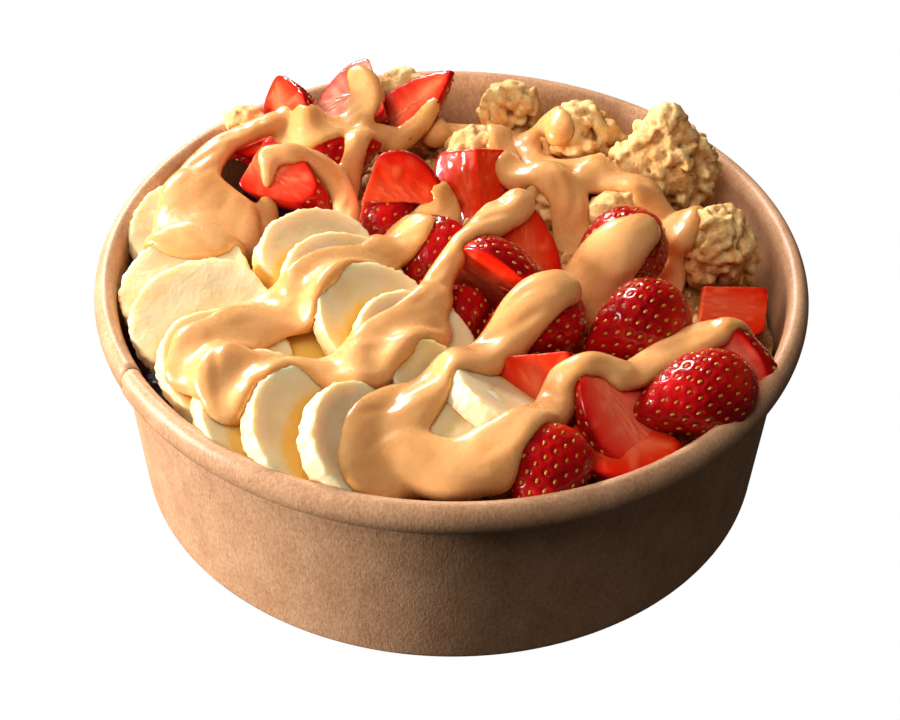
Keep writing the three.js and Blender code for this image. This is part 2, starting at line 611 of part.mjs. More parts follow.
// ---------------------------------------------------------------- putting it together
const FINISHES = {
  bowl: { color: 0xb98a63, roughness: 0.8 },
  acai: { color: 0x2c1220, roughness: 0.5 },
  granola: { color: 0xd2a468, roughness: 0.9 },
  banana: { color: 0xf0dfa4, roughness: 0.5 },
  strawberry: { color: 0xc3160f, roughness: 0.25 },
  sauce: { color: 0xd59a5b, roughness: 0.2 },
};
const materials = Object.fromEntries(
  Object.entries(FINISHES).map(([name, finish]) => [name, new THREE.MeshStandardMaterial(finish)]),
);

const acaiBowl = new THREE.Group();
acaiBowl.name = "acai_bowl";
const finished = []; // { clearance, box } of each piece so far

function boxOf(solid) {
  const { min, max } = solid.boundingBox();
  return new THREE.Box3(new THREE.Vector3(...min), new THREE.Vector3(...max));
}

const joined = (solids) => solids.reduce((sum, solid) => sum.add(solid));

// Adds a piece of one or more bodies run together, cut back to keep clear of the pieces before it. Its own
// clearance is grown body by body, as the creases where bodies meet can't be moved out evenly.
function add(name, finish, ...bodies) {
  const solid = joined(bodies);
  const box = boxOf(solid).expandByScalar(GAP);
  let fitted = solid;
  for (const earlier of finished) {
    if (earlier.box.intersectsBox(box)) fitted = fitted.subtract(earlier.clearance);
  }
  finished.push({ clearance: joined(bodies.map((body) => grown(body, GAP))), box });
  const mesh = new THREE.Mesh(geometryOf(thinned(largestBody(fitted), THINNING)), materials[finish]);
  mesh.name = name;
  acaiBowl.add(mesh);
}

function madeOf(facts, make) {
  return Object.entries(facts).map(([name, fact], i) => [name, solidOf(make(fact, i + 1))]);
}
const heap = granolaHeap();
const clusters = madeOf(CLUSTERS, cluster);
const slices = madeOf(BANANA_SLICES, bananaSlice);
const berries = madeOf(STRAWBERRIES, strawberry);
const toppings = [...clusters, ...slices, ...berries].map(([, solid]) => solid);
const surface = surfaceOf([heap, ...toppings].map(geometryOf));

add("bowl", "bowl", solidOf(bowlGeometry()));
for (const [name, ropes] of Object.entries(POURS)) {
  add(name, "sauce", ...ropes.map((facts) => solidOf(rope(facts, surface))));
}
add("granola_heap", "granola", heap);
add("acai_pulp", "acai", solidOf(fillingGeometry(pulpTop, BASE_RECESS + PAPER + GAP, 3)));
for (const [name, solid] of clusters) add(name, "granola", solid);
for (const [name, solid] of slices) add(name, "banana", solid);
for (const [name, solid] of berries) add(name, "strawberry", solid);

export default acaiBowl;
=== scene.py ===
"""A take-away acai bowl: a kraft paper bowl of acai pulp and granola, heaped with banana slices, cut
strawberries and granola clusters under poured peanut butter. Lengths in the tables are millimetres."""

import math

import bmesh
import bpy
import numpy as np
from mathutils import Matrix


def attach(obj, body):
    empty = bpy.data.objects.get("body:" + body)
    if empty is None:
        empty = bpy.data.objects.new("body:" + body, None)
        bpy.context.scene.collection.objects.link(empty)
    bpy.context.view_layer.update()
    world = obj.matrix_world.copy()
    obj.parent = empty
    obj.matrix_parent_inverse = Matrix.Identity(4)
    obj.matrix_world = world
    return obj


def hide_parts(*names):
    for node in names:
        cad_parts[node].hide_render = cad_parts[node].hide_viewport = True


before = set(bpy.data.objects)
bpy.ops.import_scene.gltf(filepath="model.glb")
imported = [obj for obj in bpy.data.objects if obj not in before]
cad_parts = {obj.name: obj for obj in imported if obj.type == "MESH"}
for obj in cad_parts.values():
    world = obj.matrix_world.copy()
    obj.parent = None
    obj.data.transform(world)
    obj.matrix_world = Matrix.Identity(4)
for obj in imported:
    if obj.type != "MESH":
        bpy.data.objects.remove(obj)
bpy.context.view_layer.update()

import openvdb
from mathutils import Matrix, Vector

# ---------------------------------------------------------------- camera
# A still-life camera with a long lens, a little above and in front of the bowl. It leans by less than one
# degree, and the small shift sets the bowl where the frame has it.
MM = 0.001
PICTURE_WIDTH = 900
CAMERA_RISE = math.radians(40.157)
CAMERA_LEAN = math.radians(0.838)
CAMERA_AWAY = 0.53104
AIM = Vector((0, 0, 24.2 * MM))

camera_data = bpy.data.cameras.new("camera")
camera_data.sensor_width = 36
camera_data.lens = 98.05
camera_data.shift_x = -0.8 / PICTURE_WIDTH
camera_data.shift_y = -7.3 / PICTURE_WIDTH
camera_data.clip_end = 100
camera = bpy.data.objects.new("camera", camera_data)
bpy.context.scene.collection.objects.link(camera)
camera.matrix_world = (
    Matrix.Translation(AIM + CAMERA_AWAY * Vector((0, -math.cos(CAMERA_RISE), math.sin(CAMERA_RISE))))
    @ Matrix.Rotation(math.pi / 2 - CAMERA_RISE, 4, "X")
    @ Matrix.Rotation(CAMERA_LEAN, 4, "Z")
)
bpy.context.scene.camera = camera
bpy.context.scene.view_settings.view_transform = "Standard"

# ---------------------------------------------------------------- floor and lamps
# A plain white sweep that glows evenly, so that nothing shades it, and sends no light back onto the bowl.
# Two window-like soft boxes stand at the left and the back left, and two broad ones fill the shade.


def placed_mesh(name, points, faces):
    """A smooth-shaded mesh object from points in millimetres and the corners of each face."""
    corners = faces.tolist() if isinstance(faces, np.ndarray) else faces
    mesh = bpy.data.meshes.new(name)
    mesh.from_pydata((np.asarray(points, float) * MM).tolist(), [], corners)
    mesh.shade_smooth()
    piece = bpy.data.objects.new(name, mesh)
    bpy.context.scene.collection.objects.link(piece)
    return piece


FLOOR_HALF = 4000
FLOOR_BELOW = 0.05
FLOOR_CORNERS = ((-1, -1), (1, -1), (1, 1), (-1, 1))
floor_points = [(FLOOR_HALF * side, FLOOR_HALF * end, -FLOOR_BELOW) for side, end in FLOOR_CORNERS]
floor = placed_mesh("floor", floor_points, [(0, 1, 2, 3)])
white = bpy.data.materials.new("white_sweep")
white.use_nodes = True
white_glow = white.node_tree.nodes.new("ShaderNodeEmission")
white_glow.inputs["Color"].default_value = (1, 1, 1, 1)
white.node_tree.links.new(white_glow.outputs[0], white.node_tree.nodes["Material Output"].inputs["Surface"])
floor.data.materials.append(white)
floor.visible_diffuse = False
floor.visible_glossy = False
floor.visible_transmission = False

world = bpy.data.worlds.new("studio")
bpy.context.scene.world = world
world.use_nodes = True
world.node_tree.nodes["Background"].inputs["Color"].default_value = (1.0, 0.95, 0.9, 1)
world.node_tree.nodes["Background"].inputs["Strength"].default_value = 0.022

# name: (direction from the bowl, distance, width, height, watts, colour)
SOFT_BOXES = {
    "window_left": ((-0.98, -0.1, 0.19), 1.1, 0.3, 0.26, 22, (1.0, 0.96, 0.9)),
    "window_back": ((-0.42, 0.76, 0.49), 1.2, 0.32, 0.26, 18, (1.0, 0.97, 0.92)),
    "glow_above": ((-0.3, -0.25, 0.93), 1.3, 0.9, 0.8, 11.5, (1.0, 0.97, 0.93)),
    "glow_right": ((0.9, -0.25, 0.35), 1.5, 0.6, 0.8, 0.8, (1.0, 0.9, 0.8)),
}
for name, (direction, away, wide, high, watts, colour) in SOFT_BOXES.items():
    lamp_data = bpy.data.lights.new(name, "AREA")
    lamp_data.shape = "RECTANGLE"
    lamp_data.size = wide
    lamp_data.size_y = high
    lamp_data.energy = watts
    lamp_data.color = colour
    lamp = bpy.data.objects.new(name, lamp_data)
    bpy.context.scene.collection.objects.link(lamp)
    outward = Vector(direction).normalized()
    lamp.location = AIM + away * outward
    lamp.rotation_euler = outward.to_track_quat("Z", "Y").to_euler()
    lamp.visible_glossy = not name.startswith("glow")

# ---------------------------------------------------------------- paper bowl
# Brown kraft board, coated inside: a cone-shaped wall whose ends lap at the left, folded up round a base
# disc at the foot. Its top edge is rolled outward and down into a bead, and where the ends lap, their joint
# shows as a thin dark line across the bead.
RIM_RADIUS = 75
BOWL_HEIGHT = 48.4
FOOT_RADIUS = 67
PAPER = 0.8
ROLL_WIDTH = 4.7
ROLL_HEIGHT = 7.5
ROLL_LIP = 0.42  # how far the bead's underside steps out from the wall
ROLL_TUCK = 0.36  # how far its edge turns in underneath, in half turns
BASE_RECESS = 5
FOOT_BEND = 0.35
UNDER_ROLL = BOWL_HEIGHT - ROLL_HEIGHT
WALL_SLOPE = (RIM_RADIUS - ROLL_WIDTH + PAPER - FOOT_RADIUS) / UNDER_ROLL
LAP_ANGLE = math.radians(208.6)
LAP_STEP = 0.28  # how far the outer end of the paper stands out
LAP_FADE = 0.16  # the angle over which that step dies away
JOINT_HALF = 0.0022  # half the angle that the joint's line takes up
JOINT_SUNK = 0.88  # the bead's size at the joint, as a share of its own
BOWL_COLUMNS = 240
WALL_ROWS = 30
BEAD_ROWS = 26
SCATTER = (127.1, 311.7, 74.7)  # what a step along each axis adds to the angle that the noise is drawn from
SEED_ANGLE = 53.3
SINE_REACH = 43758.5453


def inside_radius(z):
    """The bowl's inner radius at a height."""
    return FOOT_RADIUS + WALL_SLOPE * z - PAPER


def unevenness(points, grain, seed):
    """Smooth noise from -1 to 1 at some points, with lumps about one grain across."""
    scaled = np.asarray(points, float) / grain
    cell = np.floor(scaled)
    part = scaled - cell
    ease = part * part * (3 - 2 * part)
    total = 0
    for dx in (0, 1):
        for dy in (0, 1):
            for dz in (0, 1):
                mixed = (
                    (cell[..., 0] + dx) * SCATTER[0]
                    + (cell[..., 1] + dy) * SCATTER[1]
                    + (cell[..., 2] + dz) * SCATTER[2]
                )
                value = np.sin(mixed + seed * SEED_ANGLE) * SINE_REACH
                weight = (
                    (ease[..., 0] if dx else 1 - ease[..., 0])
                    * (ease[..., 1] if dy else 1 - ease[..., 1])
                    * (ease[..., 2] if dz else 1 - ease[..., 2])
                )
                total = total + weight * (2 * (value - np.floor(value)) - 1)
    return total


def coloured(red, green, blue):
    """A colour given as it looks on a screen, 0 to 255, as the linear one that a shader takes."""
    parts = [c / 255 for c in (red, green, blue)]
    linear = [c / 12.92 if c < 0.04045 else ((c + 0.055) / 1.055) ** 2.4 for c in parts]
    return (*linear, 1)


class Finish:
    """A node material in the making: its tree, its shader, and short ways to add what the finishes need."""

    def __init__(self, name, **settings):
        self.material = bpy.data.materials.new(name)
        self.material.use_nodes = True
        self.tree = self.material.node_tree
        self.shader = self.tree.nodes["Principled BSDF"]
        for socket, value in settings.items():
            self.shader.inputs[socket.replace("_", " ")].default_value = value
        self.place = self.tree.nodes.new("ShaderNodeTexCoord").outputs["Object"]

    def join(self, out, into):
        self.tree.links.new(out, into)

    def grain(self, size, detail=2.0, stretch=(1, 1, 1), rough=0.5):
        """Noise with lumps about size millimetres across, longer along an axis stretched above 1."""
        mapping = self.tree.nodes.new("ShaderNodeMapping")
        mapping.inputs["Scale"].default_value = [1 / (size * MM * s) for s in stretch]
        self.join(self.place, mapping.inputs["Vector"])
        noise = self.tree.nodes.new("ShaderNodeTexNoise")
        noise.inputs["Scale"].default_value = 1
        noise.inputs["Detail"].default_value = detail
        noise.inputs["Roughness"].default_value = rough
        self.join(mapping.outputs[0], noise.inputs["Vector"])
        return noise.outputs["Fac"]

    def tones(self, factor, *stops):
        """A colour that runs through (position, colour) stops as a factor goes from 0 to 1."""
        ramp = self.tree.nodes.new("ShaderNodeValToRGB")
        elements = ramp.color_ramp.elements
        while len(elements) < len(stops):
            elements.new(0.5)
        for element, (position, colour) in zip(elements, stops):
            element.position = position
            element.color = colour if hasattr(colour, "__len__") else (colour, colour, colour, 1)
        self.join(factor, ramp.inputs["Fac"])
        return ramp.outputs["Color"]

    def laid(self, factor, under, over, blend="MIX"):
        """One colour laid over another where a factor says."""
        mix = self.tree.nodes.new("ShaderNodeMix")
        mix.data_type = "RGBA"
        mix.blend_type = blend
        sockets = mix.inputs["Factor"], mix.inputs[6], mix.inputs[7]
        for value, socket in zip((factor, under, over), sockets):
            if hasattr(value, "is_linked"):
                self.join(value, socket)
            else:
                socket.default_value = value
        return mix.outputs[2]

    def kept(self, attribute):
        """A number that the mesh keeps at each corner."""
        node = self.tree.nodes.new("ShaderNodeAttribute")
        node.attribute_name = attribute
        return node.outputs["Fac"]

    def raised(self, height, depth):
        """Adds a bump of a depth in millimetres to the surface."""
        bump = self.tree.nodes.new("ShaderNodeBump")
        bump.inputs["Distance"].default_value = depth * MM
        bump.inputs["Strength"].default_value = 1
        self.join(height, bump.inputs["Height"])
        normal = self.shader.inputs["Normal"]
        if normal.is_linked:
            self.join(normal.links[0].from_socket, bump.inputs["Normal"])
        self.join(bump.outputs[0], normal)


def kraft_finish():
    kraft = Finish("kraft_paper", Roughness=0.6, Specular_IOR_Level=0.35)
    mottle = kraft.grain(7, 5, (1, 1, 1.6), 0.62)
    fibre = kraft.grain(0.55, 3, (1, 1, 2.2), 0.7)
    fleck = kraft.grain(1.3, 1, (3.2, 3.2, 0.35))
    base = kraft.tones(mottle, (0.3, coloured(194, 144, 106)), (0.7, coloured(216, 168, 130)))
    fibred = kraft.laid(0.5, base, kraft.tones(fibre, (0.3, 0.22), (0.72, 0.78)), "OVERLAY")
    flecked = kraft.laid(kraft.tones(fleck, (0.7, 0.0), (0.78, 0.35)), fibred, coloured(232, 190, 150))
    jointed = kraft.laid(kraft.kept("joint"), flecked, coloured(16, 10, 7))
    kraft.join(jointed, kraft.shader.inputs["Base Color"])
    wall_dull = kraft.tones(fibre, (0.2, 0.58), (0.8, 0.74))
    bead_satin = kraft.tones(fibre, (0.2, 0.3), (0.8, 0.48))
    kraft.join(kraft.laid(kraft.kept("bead"), wall_dull, bead_satin), kraft.shader.inputs["Roughness"])
    kraft.raised(fibre, 0.09)
    kraft.raised(mottle, 0.12)
    return kraft.material


def bowl_profile():
    """Points [radius, height, on the bead, on the outside], from under the base round to its top."""
    folded_in = FOOT_RADIUS - 2 * PAPER
    floor_top = BASE_RECESS + PAPER
    points = [(r, BASE_RECESS, 0, 0) for r in np.linspace(0, folded_in, 12)]
    points += [(folded_in, 0.5, 0, 0), (folded_in + FOOT_BEND, 0, 0, 0)]
    points += [(FOOT_RADIUS - FOOT_BEND, 0, 0, 0), (FOOT_RADIUS, 0.4, 0, 0)]
    points += [(inside_radius(z) + PAPER, z, 0, z > 1) for z in np.linspace(0.9, UNDER_ROLL - 0.1, WALL_ROWS)]
    lip = inside_radius(UNDER_ROLL) + PAPER + ROLL_LIP
    points += [(lip - ROLL_LIP, UNDER_ROLL, 0.3, 1), (lip, UNDER_ROLL + 0.02, 0.6, 1)]
    points += [(lip + 0.12, UNDER_ROLL + 0.16, 1, 1)]
    roll_x = RIM_RADIUS - ROLL_WIDTH / 2
    roll_z = BOWL_HEIGHT - ROLL_HEIGHT / 2
    for turn in np.linspace(-ROLL_TUCK, 1, BEAD_ROWS):
        points.append((
            roll_x + ROLL_WIDTH / 2 * math.cos(turn * math.pi),
            roll_z + ROLL_HEIGHT / 2 * math.sin(turn * math.pi),
            1,
            1,
        ))
    points += [(inside_radius(z), z, 0, 0) for z in np.linspace(UNDER_ROLL, floor_top + 0.5, 16)]
    points += [(inside_radius(floor_top) - 0.5, floor_top, 0, 0)]
    points += [(r, floor_top, 0, 0) for r in np.linspace(inside_radius(floor_top) - 6, 0, 10)]
    return np.array(points)


profile = bowl_profile()
on_bead = profile[:, 2] == 1
is_outside = profile[:, 3] == 1
at_joint = LAP_ANGLE + JOINT_HALF * np.array([-2, -1, 1, 2])
around = np.sort(np.append(np.linspace(0, 2 * math.pi, BOWL_COLUMNS, endpoint=False), at_joint))
past_lap = np.mod(around - LAP_ANGLE, 2 * math.pi)
in_joint = np.abs(around - LAP_ANGLE) < 1.5 * JOINT_HALF
stands_out = np.exp(-past_lap / LAP_FADE) * LAP_STEP
radius = profile[:, 0][:, None] + is_outside[:, None] * stands_out[None, :]
bowl_points = np.stack([
    radius * np.cos(around)[None, :],
    radius * np.sin(around)[None, :],
    np.repeat(profile[:, 1][:, None], len(around), 1),
], -1)
bead_middle = np.array([RIM_RADIUS - ROLL_WIDTH / 2, BOWL_HEIGHT - ROLL_HEIGHT / 2])
for row in np.flatnonzero(on_bead):
    sunk = bead_middle + JOINT_SUNK * (profile[row, :2] - bead_middle)
    for turn, column in zip(around[in_joint], np.flatnonzero(in_joint)):
        bowl_points[row, column] = (sunk[0] * math.cos(turn), sunk[0] * math.sin(turn), sunk[1])
from_axis = np.hypot(bowl_points[..., 0], bowl_points[..., 1])
within_rim = np.minimum(1, RIM_RADIUS / np.maximum(1e-6, from_axis))
bowl_points[..., :2] *= within_rim[..., None]


def lathe_faces(rows, columns):
    """Quads between the rows of a closed lathe."""
    row, column = np.meshgrid(np.arange(rows - 1), np.arange(columns), indexing="ij")
    following = (column + 1) % columns
    return np.stack([
        row * columns + column, row * columns + following,
        (row + 1) * columns + following, (row + 1) * columns + column,
    ], -1).reshape(-1, 4)


def keep(piece, name, values):
    """Keeps a number for each corner of a piece's mesh, for its finish to read."""
    attribute = piece.data.attributes.new(name, "FLOAT", "POINT")
    attribute.data.foreach_set("value", np.asarray(values, np.float32).ravel())


def served(piece, finish, slot, *nodes):
    """Gives a piece its finish and its place in the frame."""
    piece.data.materials.append(finish)
    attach(piece, "root")
    if nodes:
        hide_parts(*nodes)
    return piece


bowl = placed_mesh("paper_bowl", bowl_points.reshape(-1, 3), lathe_faces(len(profile), len(around)))
keep(bowl, "bead", np.repeat(profile[:, 2], len(around)))
keep(bowl, "joint", on_bead[:, None] & in_joint[None, :])
served(bowl, kraft_finish(), "kraft_paper", "bowl")

# ---------------------------------------------------------------- acai pulp
# Frozen acai pulp, blended and scooped in until it fills the bowl up to the toppings: a dark purple paste
# with a wet, slightly icy surface, heaped a little in the middle.
PULP_AT_WALL = 30
PULP_RISE = 12
DOME_RADIUS = 68
WALL_CLEAR = 0.8
PULP_LUMPS = 0.8
PULP_GRAIN = 0.3
PULP_RINGS = 50
PULP_SPOKES = 120


def dome(x, y):
    return np.maximum(0, 1 - (x * x + y * y) / DOME_RADIUS**2)


def flat_noise(x, y, grain, seed):
    """Unevenness over plan points."""
    return unevenness(np.stack([x, y, np.zeros_like(x)], -1), grain, seed)


def pulp_finish():
    pulp = Finish("acai_pulp", Roughness=0.32, Specular_IOR_Level=0.5, Coat_Weight=0.2, Coat_Roughness=0.15)
    icy = pulp.grain(1.1, 3)
    scooped = pulp.grain(9, 3)
    base = pulp.tones(scooped, (0.3, coloured(38, 12, 30)), (0.7, coloured(66, 24, 50)))
    frosted = pulp.laid(pulp.tones(icy, (0.6, 0.0), (0.8, 0.25)), base, coloured(120, 70, 105))
    pulp.join(frosted, pulp.shader.inputs["Base Color"])
    pulp.raised(icy, 0.25)
    pulp.raised(scooped, 1.0)
    return pulp.material


def pulp_piece():
    turns = np.linspace(0, 2 * math.pi, PULP_SPOKES, endpoint=False)
    rim = inside_radius(PULP_AT_WALL) - WALL_CLEAR
    floor_radius = inside_radius(BASE_RECESS + PAPER) - WALL_CLEAR
    rows = []
    for r in np.linspace(0.01, rim, PULP_RINGS):
        x, y = r * np.cos(turns), r * np.sin(turns)
        z = PULP_AT_WALL + PULP_RISE * dome(x, y)
        z = z + PULP_LUMPS * flat_noise(x, y, 9, 3) + PULP_GRAIN * flat_noise(x, y, 3, 4)
        rows.append(np.stack([x, y, z], -1))
    for r in (floor_radius, 0.01):
        z = np.full(PULP_SPOKES, BASE_RECESS + PAPER + 0.4)
        rows.append(np.stack([r * np.cos(turns), r * np.sin(turns), z], -1))
    points = np.concatenate(rows[::-1])
    return placed_mesh("acai_pulp_fill", points, lathe_faces(len(rows), PULP_SPOKES))


served(pulp_piece(), pulp_finish(), "acai_pulp", "acai_pulp")

# ---------------------------------------------------------------- loose granola
# Toasted oat granola heaped on the pulp on the right and at the back: oat flakes and crumbs stuck together
# with honey. The heap is one body with its flakes as relief, and loose crumbs lie on it.
GRANOLA_AT_WALL = 33
GRANOLA_RISE = 12
GRANOLA_BOTTOM = 24
GRANOLA_EDGE = -21
GRANOLA_SLANT = 0.35
HEAP_LUMPS = 1.3
HEAP_GRAIN = 0.6
HEAP_FLAKES = 2600
HEAP_FLAKE_RADII = ((1.6, 2.8), (1.2, 2.2), (0.7, 1.3))  # the least and the most along each axis
LOOSE_CRUMBS = 650
CRUMB_RADII = ((0.8, 2.0), (0.6, 1.5), (0.5, 1.0))
HEAP_STEP = 0.68


class Block:
    """A box of evenly spaced points holding the distance to the nearest surface, below 0 inside."""

    def __init__(self, low, high, step, far=6.0):
        self.low = np.asarray(low, float)
        self.step = step
        self.size = np.ceil((np.asarray(high, float) - self.low) / step).astype(int) + 1
        self.values = np.full(self.size, far, np.float32)

    def window(self, low, high):
        """The slices and the points between two corners."""
        first = np.clip(np.floor((np.asarray(low) - self.low) / self.step).astype(int), 0, self.size - 1)
        last = np.ceil((np.asarray(high) - self.low) / self.step).astype(int) + 1
        last = np.clip(last, first + 1, self.size)
        axes = [self.low[i] + self.step * np.arange(first[i], last[i]) for i in range(3)]
        points = np.stack(np.meshgrid(*axes, indexing="ij"), -1)
        return tuple(slice(a, b) for a, b in zip(first, last)), points

    def everywhere(self):
        """All the points of the box."""
        return self.window(self.low, self.low + self.size * self.step)[1]

    def cells(self, points):
        """Where in the values the box's points nearest to some others are."""
        nearest = np.rint((points - self.low) / self.step).astype(int)
        return tuple(np.clip(nearest, 0, self.size - 1).T)

    def skin(self, adaptivity=0.0):
        """The surface where the distance is 0, as points and faces of three or four corners."""
        self.values[[0, -1], :, :] = np.maximum(self.values[[0, -1], :, :], self.step)
        self.values[:, [0, -1], :] = np.maximum(self.values[:, [0, -1], :], self.step)
        self.values[:, :, [0, -1]] = np.maximum(self.values[:, :, [0, -1]], self.step)
        grid = openvdb.FloatGrid(float(self.values.max()))
        grid.copyFromArray(np.ascontiguousarray(self.values, np.float32))
        points, triangles, quads = grid.convertToPolygons(isovalue=0.0, adaptivity=adaptivity)
        faces = [face[::-1].tolist() for face in triangles] + [face[::-1].tolist() for face in quads]
        return points * self.step + self.low, faces


def melted(a, b, width):
    """The union of two distances, rounded over a width where they meet."""
    near = np.clip(0.5 + 0.5 * (b - a) / width, 0, 1)
    return b + (a - b) * near - width * near * (1 - near)


def any_turn(chance):
    """A random rotation as three rows."""
    q = chance.normal(size=4)
    w, x, y, z = q / np.linalg.norm(q)
    return np.array([
        [1 - 2 * (y * y + z * z), 2 * (x * y - w * z), 2 * (x * z + w * y)],
        [2 * (x * y + w * z), 1 - 2 * (x * x + z * z), 2 * (y * z - w * x)],
        [2 * (x * z - w * y), 2 * (y * z + w * x), 1 - 2 * (x * x + y * y)],
    ])


def any_radii(chance, ranges):
    """Random radii for a lump, each within its own range."""
    return np.array([chance.uniform(*limits) for limits in ranges])


def press_flake(block, at, turn, radii, width=0.4):
    """Presses one oat flake, a flattened lump, into a block."""
    reach = max(radii) + 0.8
    where, points = block.window(at - reach, at + reach)
    local = (points - at) @ turn.T / radii
    away = np.linalg.norm(local, axis=-1)
    distance = (away - 1) * min(radii) * (0.5 + 0.5 * np.minimum(1, away))
    block.values[where] = melted(block.values[where], distance.astype(np.float32), width)


def granola_finish(name, pale, toasted):
    granola = Finish(
        name, Roughness=0.7, Specular_IOR_Level=0.35, Subsurface_Weight=0.15, Subsurface_Scale=1.2 * MM
    )
    granola.shader.inputs["Subsurface Radius"].default_value = (1.0, 0.55, 0.25)
    lumps = granola.grain(3.4, 2)
    oats = granola.grain(1.0, 4, rough=0.65)
    dark = granola.grain(5.5, 3)
    base = granola.tones(lumps, (0.32, coloured(*toasted)), (0.62, coloured(*pale)))
    oaty = granola.laid(0.5, base, granola.tones(oats, (0.28, 0.2), (0.74, 0.8)), "OVERLAY")
    browned = granola.laid(granola.tones(dark, (0.6, 0.0), (0.72, 0.4)), oaty, coloured(206, 142, 76))
    # Painted shade: the hollows between the flakes are darkened to a deep brown, as shade falls there.
    in_hollow = granola.tones(granola.kept("hollow"), (0.15, 0.0), (1.0, 0.8))
    hollow_shaded = granola.laid(in_hollow, browned, coloured(124, 70, 32))
    # Painted shade: the granola is darkened to a brown in the gaps between the toppings.
    in_nook = granola.tones(granola.kept("nook"), (0.2, 0.0), (1.0, 0.55))
    granola_nook_shaded = granola.laid(in_nook, hollow_shaded, coloured(176, 112, 54))
    granola.join(granola_nook_shaded, granola.shader.inputs["Base Color"])
    granola.join(granola.tones(dark, (0.4, 0.72), (0.7, 0.4)), granola.shader.inputs["Roughness"])
    granola.raised(oats, 0.45)
    granola.raised(lumps, 0.6)
    return granola.material


def granola_top(x, y):
    lumps = HEAP_LUMPS * flat_noise(x, y, 5, 7) + HEAP_GRAIN * flat_noise(x, y, 2.6, 8)
    return GRANOLA_AT_WALL + GRANOLA_RISE * dome(x, y) + lumps


def heap_height(spot):
    """The heap's height at one plan point."""
    return float(granola_top(np.array([spot[0]]), np.array([spot[1]]))[0])


def on_heap(spot, within, inward):
    """Whether a plan point lies within a radius, and far enough inward from the heap's slanting edge."""
    return math.hypot(*spot) <= within and spot[0] >= GRANOLA_EDGE - GRANOLA_SLANT * spot[1] + inward


def granola_heap():
    chance = np.random.default_rng(11)
    block = Block((-50, -71, GRANOLA_BOTTOM - 2), (72, 71, 50), HEAP_STEP)
    x, y, z = np.moveaxis(block.everywhere(), -1, 0)
    from_wall = np.hypot(x, y) - inside_radius(z) + WALL_CLEAR
    from_edge = (GRANOLA_EDGE - GRANOLA_SLANT * y - x) / math.hypot(1, GRANOLA_SLANT)
    above = (z - granola_top(x, y)) * 0.8
    block.values[:] = np.maximum.reduce([above, from_wall, from_edge, GRANOLA_BOTTOM - z])
    for _ in range(HEAP_FLAKES):
        spot = chance.uniform((-40, -66), (68, 68))
        if on_heap(spot, 65, 3):
            radii = any_radii(chance, HEAP_FLAKE_RADII)
            press_flake(block, np.array([*spot, heap_height(spot) - 0.2]), any_turn(chance), radii)
    return relieved("granola_heap_fill", block, 0.25)


def blurred(values, width):
    """The same values smoothed by a Gaussian of a width in steps."""
    taps = np.arange(-int(3 * width), int(3 * width) + 1)
    weights = np.exp(-0.5 * (taps / width) ** 2)
    weights /= weights.sum()
    margin = len(taps) // 2
    for axis in range(3):
        padded = np.pad(values, [(margin, margin) if i == axis else (0, 0) for i in range(3)], mode="edge")
        total = np.zeros_like(values)
        for k, weight in enumerate(weights):
            moved = [slice(None)] * 3
            moved[axis] = slice(k, k + values.shape[axis])
            total += weight * padded[tuple(moved)]
        values = total
    return values


def relieved(name, block, adaptivity):
    """A block's surface as a mesh that keeps how far each corner lies in a hollow between flakes, where the
    finish paints shade.
    """
    points, faces = block.skin(adaptivity)
    piece = placed_mesh(name, points, faces)
    nearby = blurred(np.clip(block.values, -1.5, 1.5), 2.2)[block.cells(points)]
    keep(piece, "hollow", np.clip(-nearby / 0.35, 0, 1))
    return piece


def round_ball(level):
    """Corners and triangles of an even ball of radius 1."""
    work = bmesh.new()
    bmesh.ops.create_icosphere(work, subdivisions=level, radius=1)
    points = np.array([v.co for v in work.verts])
    faces = np.array([[v.index for v in f.verts] for f in work.faces])
    work.free()
    return points, faces


granola_pale = granola_finish("toasted_granola", (248, 208, 142), (226, 168, 96))
# Painted shade: the heap, low under the other toppings, has a darker copy of the same granola, while its
# crumbs and the clusters have the lit one.
granola_shaded = granola_finish("granola_painted_in_shade", (222, 172, 108), (170, 112, 56))
heap = served(granola_heap(), granola_shaded, "granola", "granola_heap")


def loose_crumbs():
    chance = np.random.default_rng(23)
    points, faces = round_ball(2)
    all_points, all_faces = [], []
    made = 0
    while made < LOOSE_CRUMBS:
        spot = chance.uniform((-38, -66), (68, 68))
        if not on_heap(spot, 65.5, 2):
            continue
        radii = any_radii(chance, CRUMB_RADII)
        lump = points * (1 + 0.25 * unevenness(points, 0.7, made)[:, None]) * radii @ any_turn(chance)
        all_faces.append(faces + len(points) * made)
        all_points.append(lump + [*spot, heap_height(spot) + 0.9])
        made += 1
    return placed_mesh("granola_crumbs", np.concatenate(all_points), np.concatenate(all_faces))


served(loose_crumbs(), granola_pale, "granola")

# ---------------------------------------------------------------- granola clusters
# Larger baked clusters of the same granola, stuck on end in the heap at the back and on the right. Each is
# a craggy lump of pressed oat flakes, and one tall one comes to a peak.
# name: (centre, width depth height, how far the top is drawn up to a point)
CLUSTERS = {
    "cluster_back_1": ((12.5, 59.5, 46.5), (13, 9, 14), 0),
    "cluster_back_2": ((-11, 61, 49), (13, 7, 12), 0),
    "cluster_rim_left": ((-46.8, 50.2, 48.6), (7.5, 5.5, 5), 0),
    "cluster_back_3": ((28, 45, 48), (18, 14, 18), 0),
    "cluster_peak": ((46, 34, 51.5), (24, 18, 29), 0.75),
    "cluster_middle_1": ((5, 41, 47), (13, 11, 12), 0),
    "cluster_middle_2": ((21.5, 25, 48.5), (14, 12, 12), 0),
    "cluster_middle_3": ((32, 30, 47), (14, 11, 13), 0),
    "cluster_middle_4": ((36, 19.5, 47.5), (13, 10, 12), 0),
    "cluster_right": ((55.5, 8, 47.5), (16.5, 15, 18), 0),
}
CLUSTER_STEP = 0.46
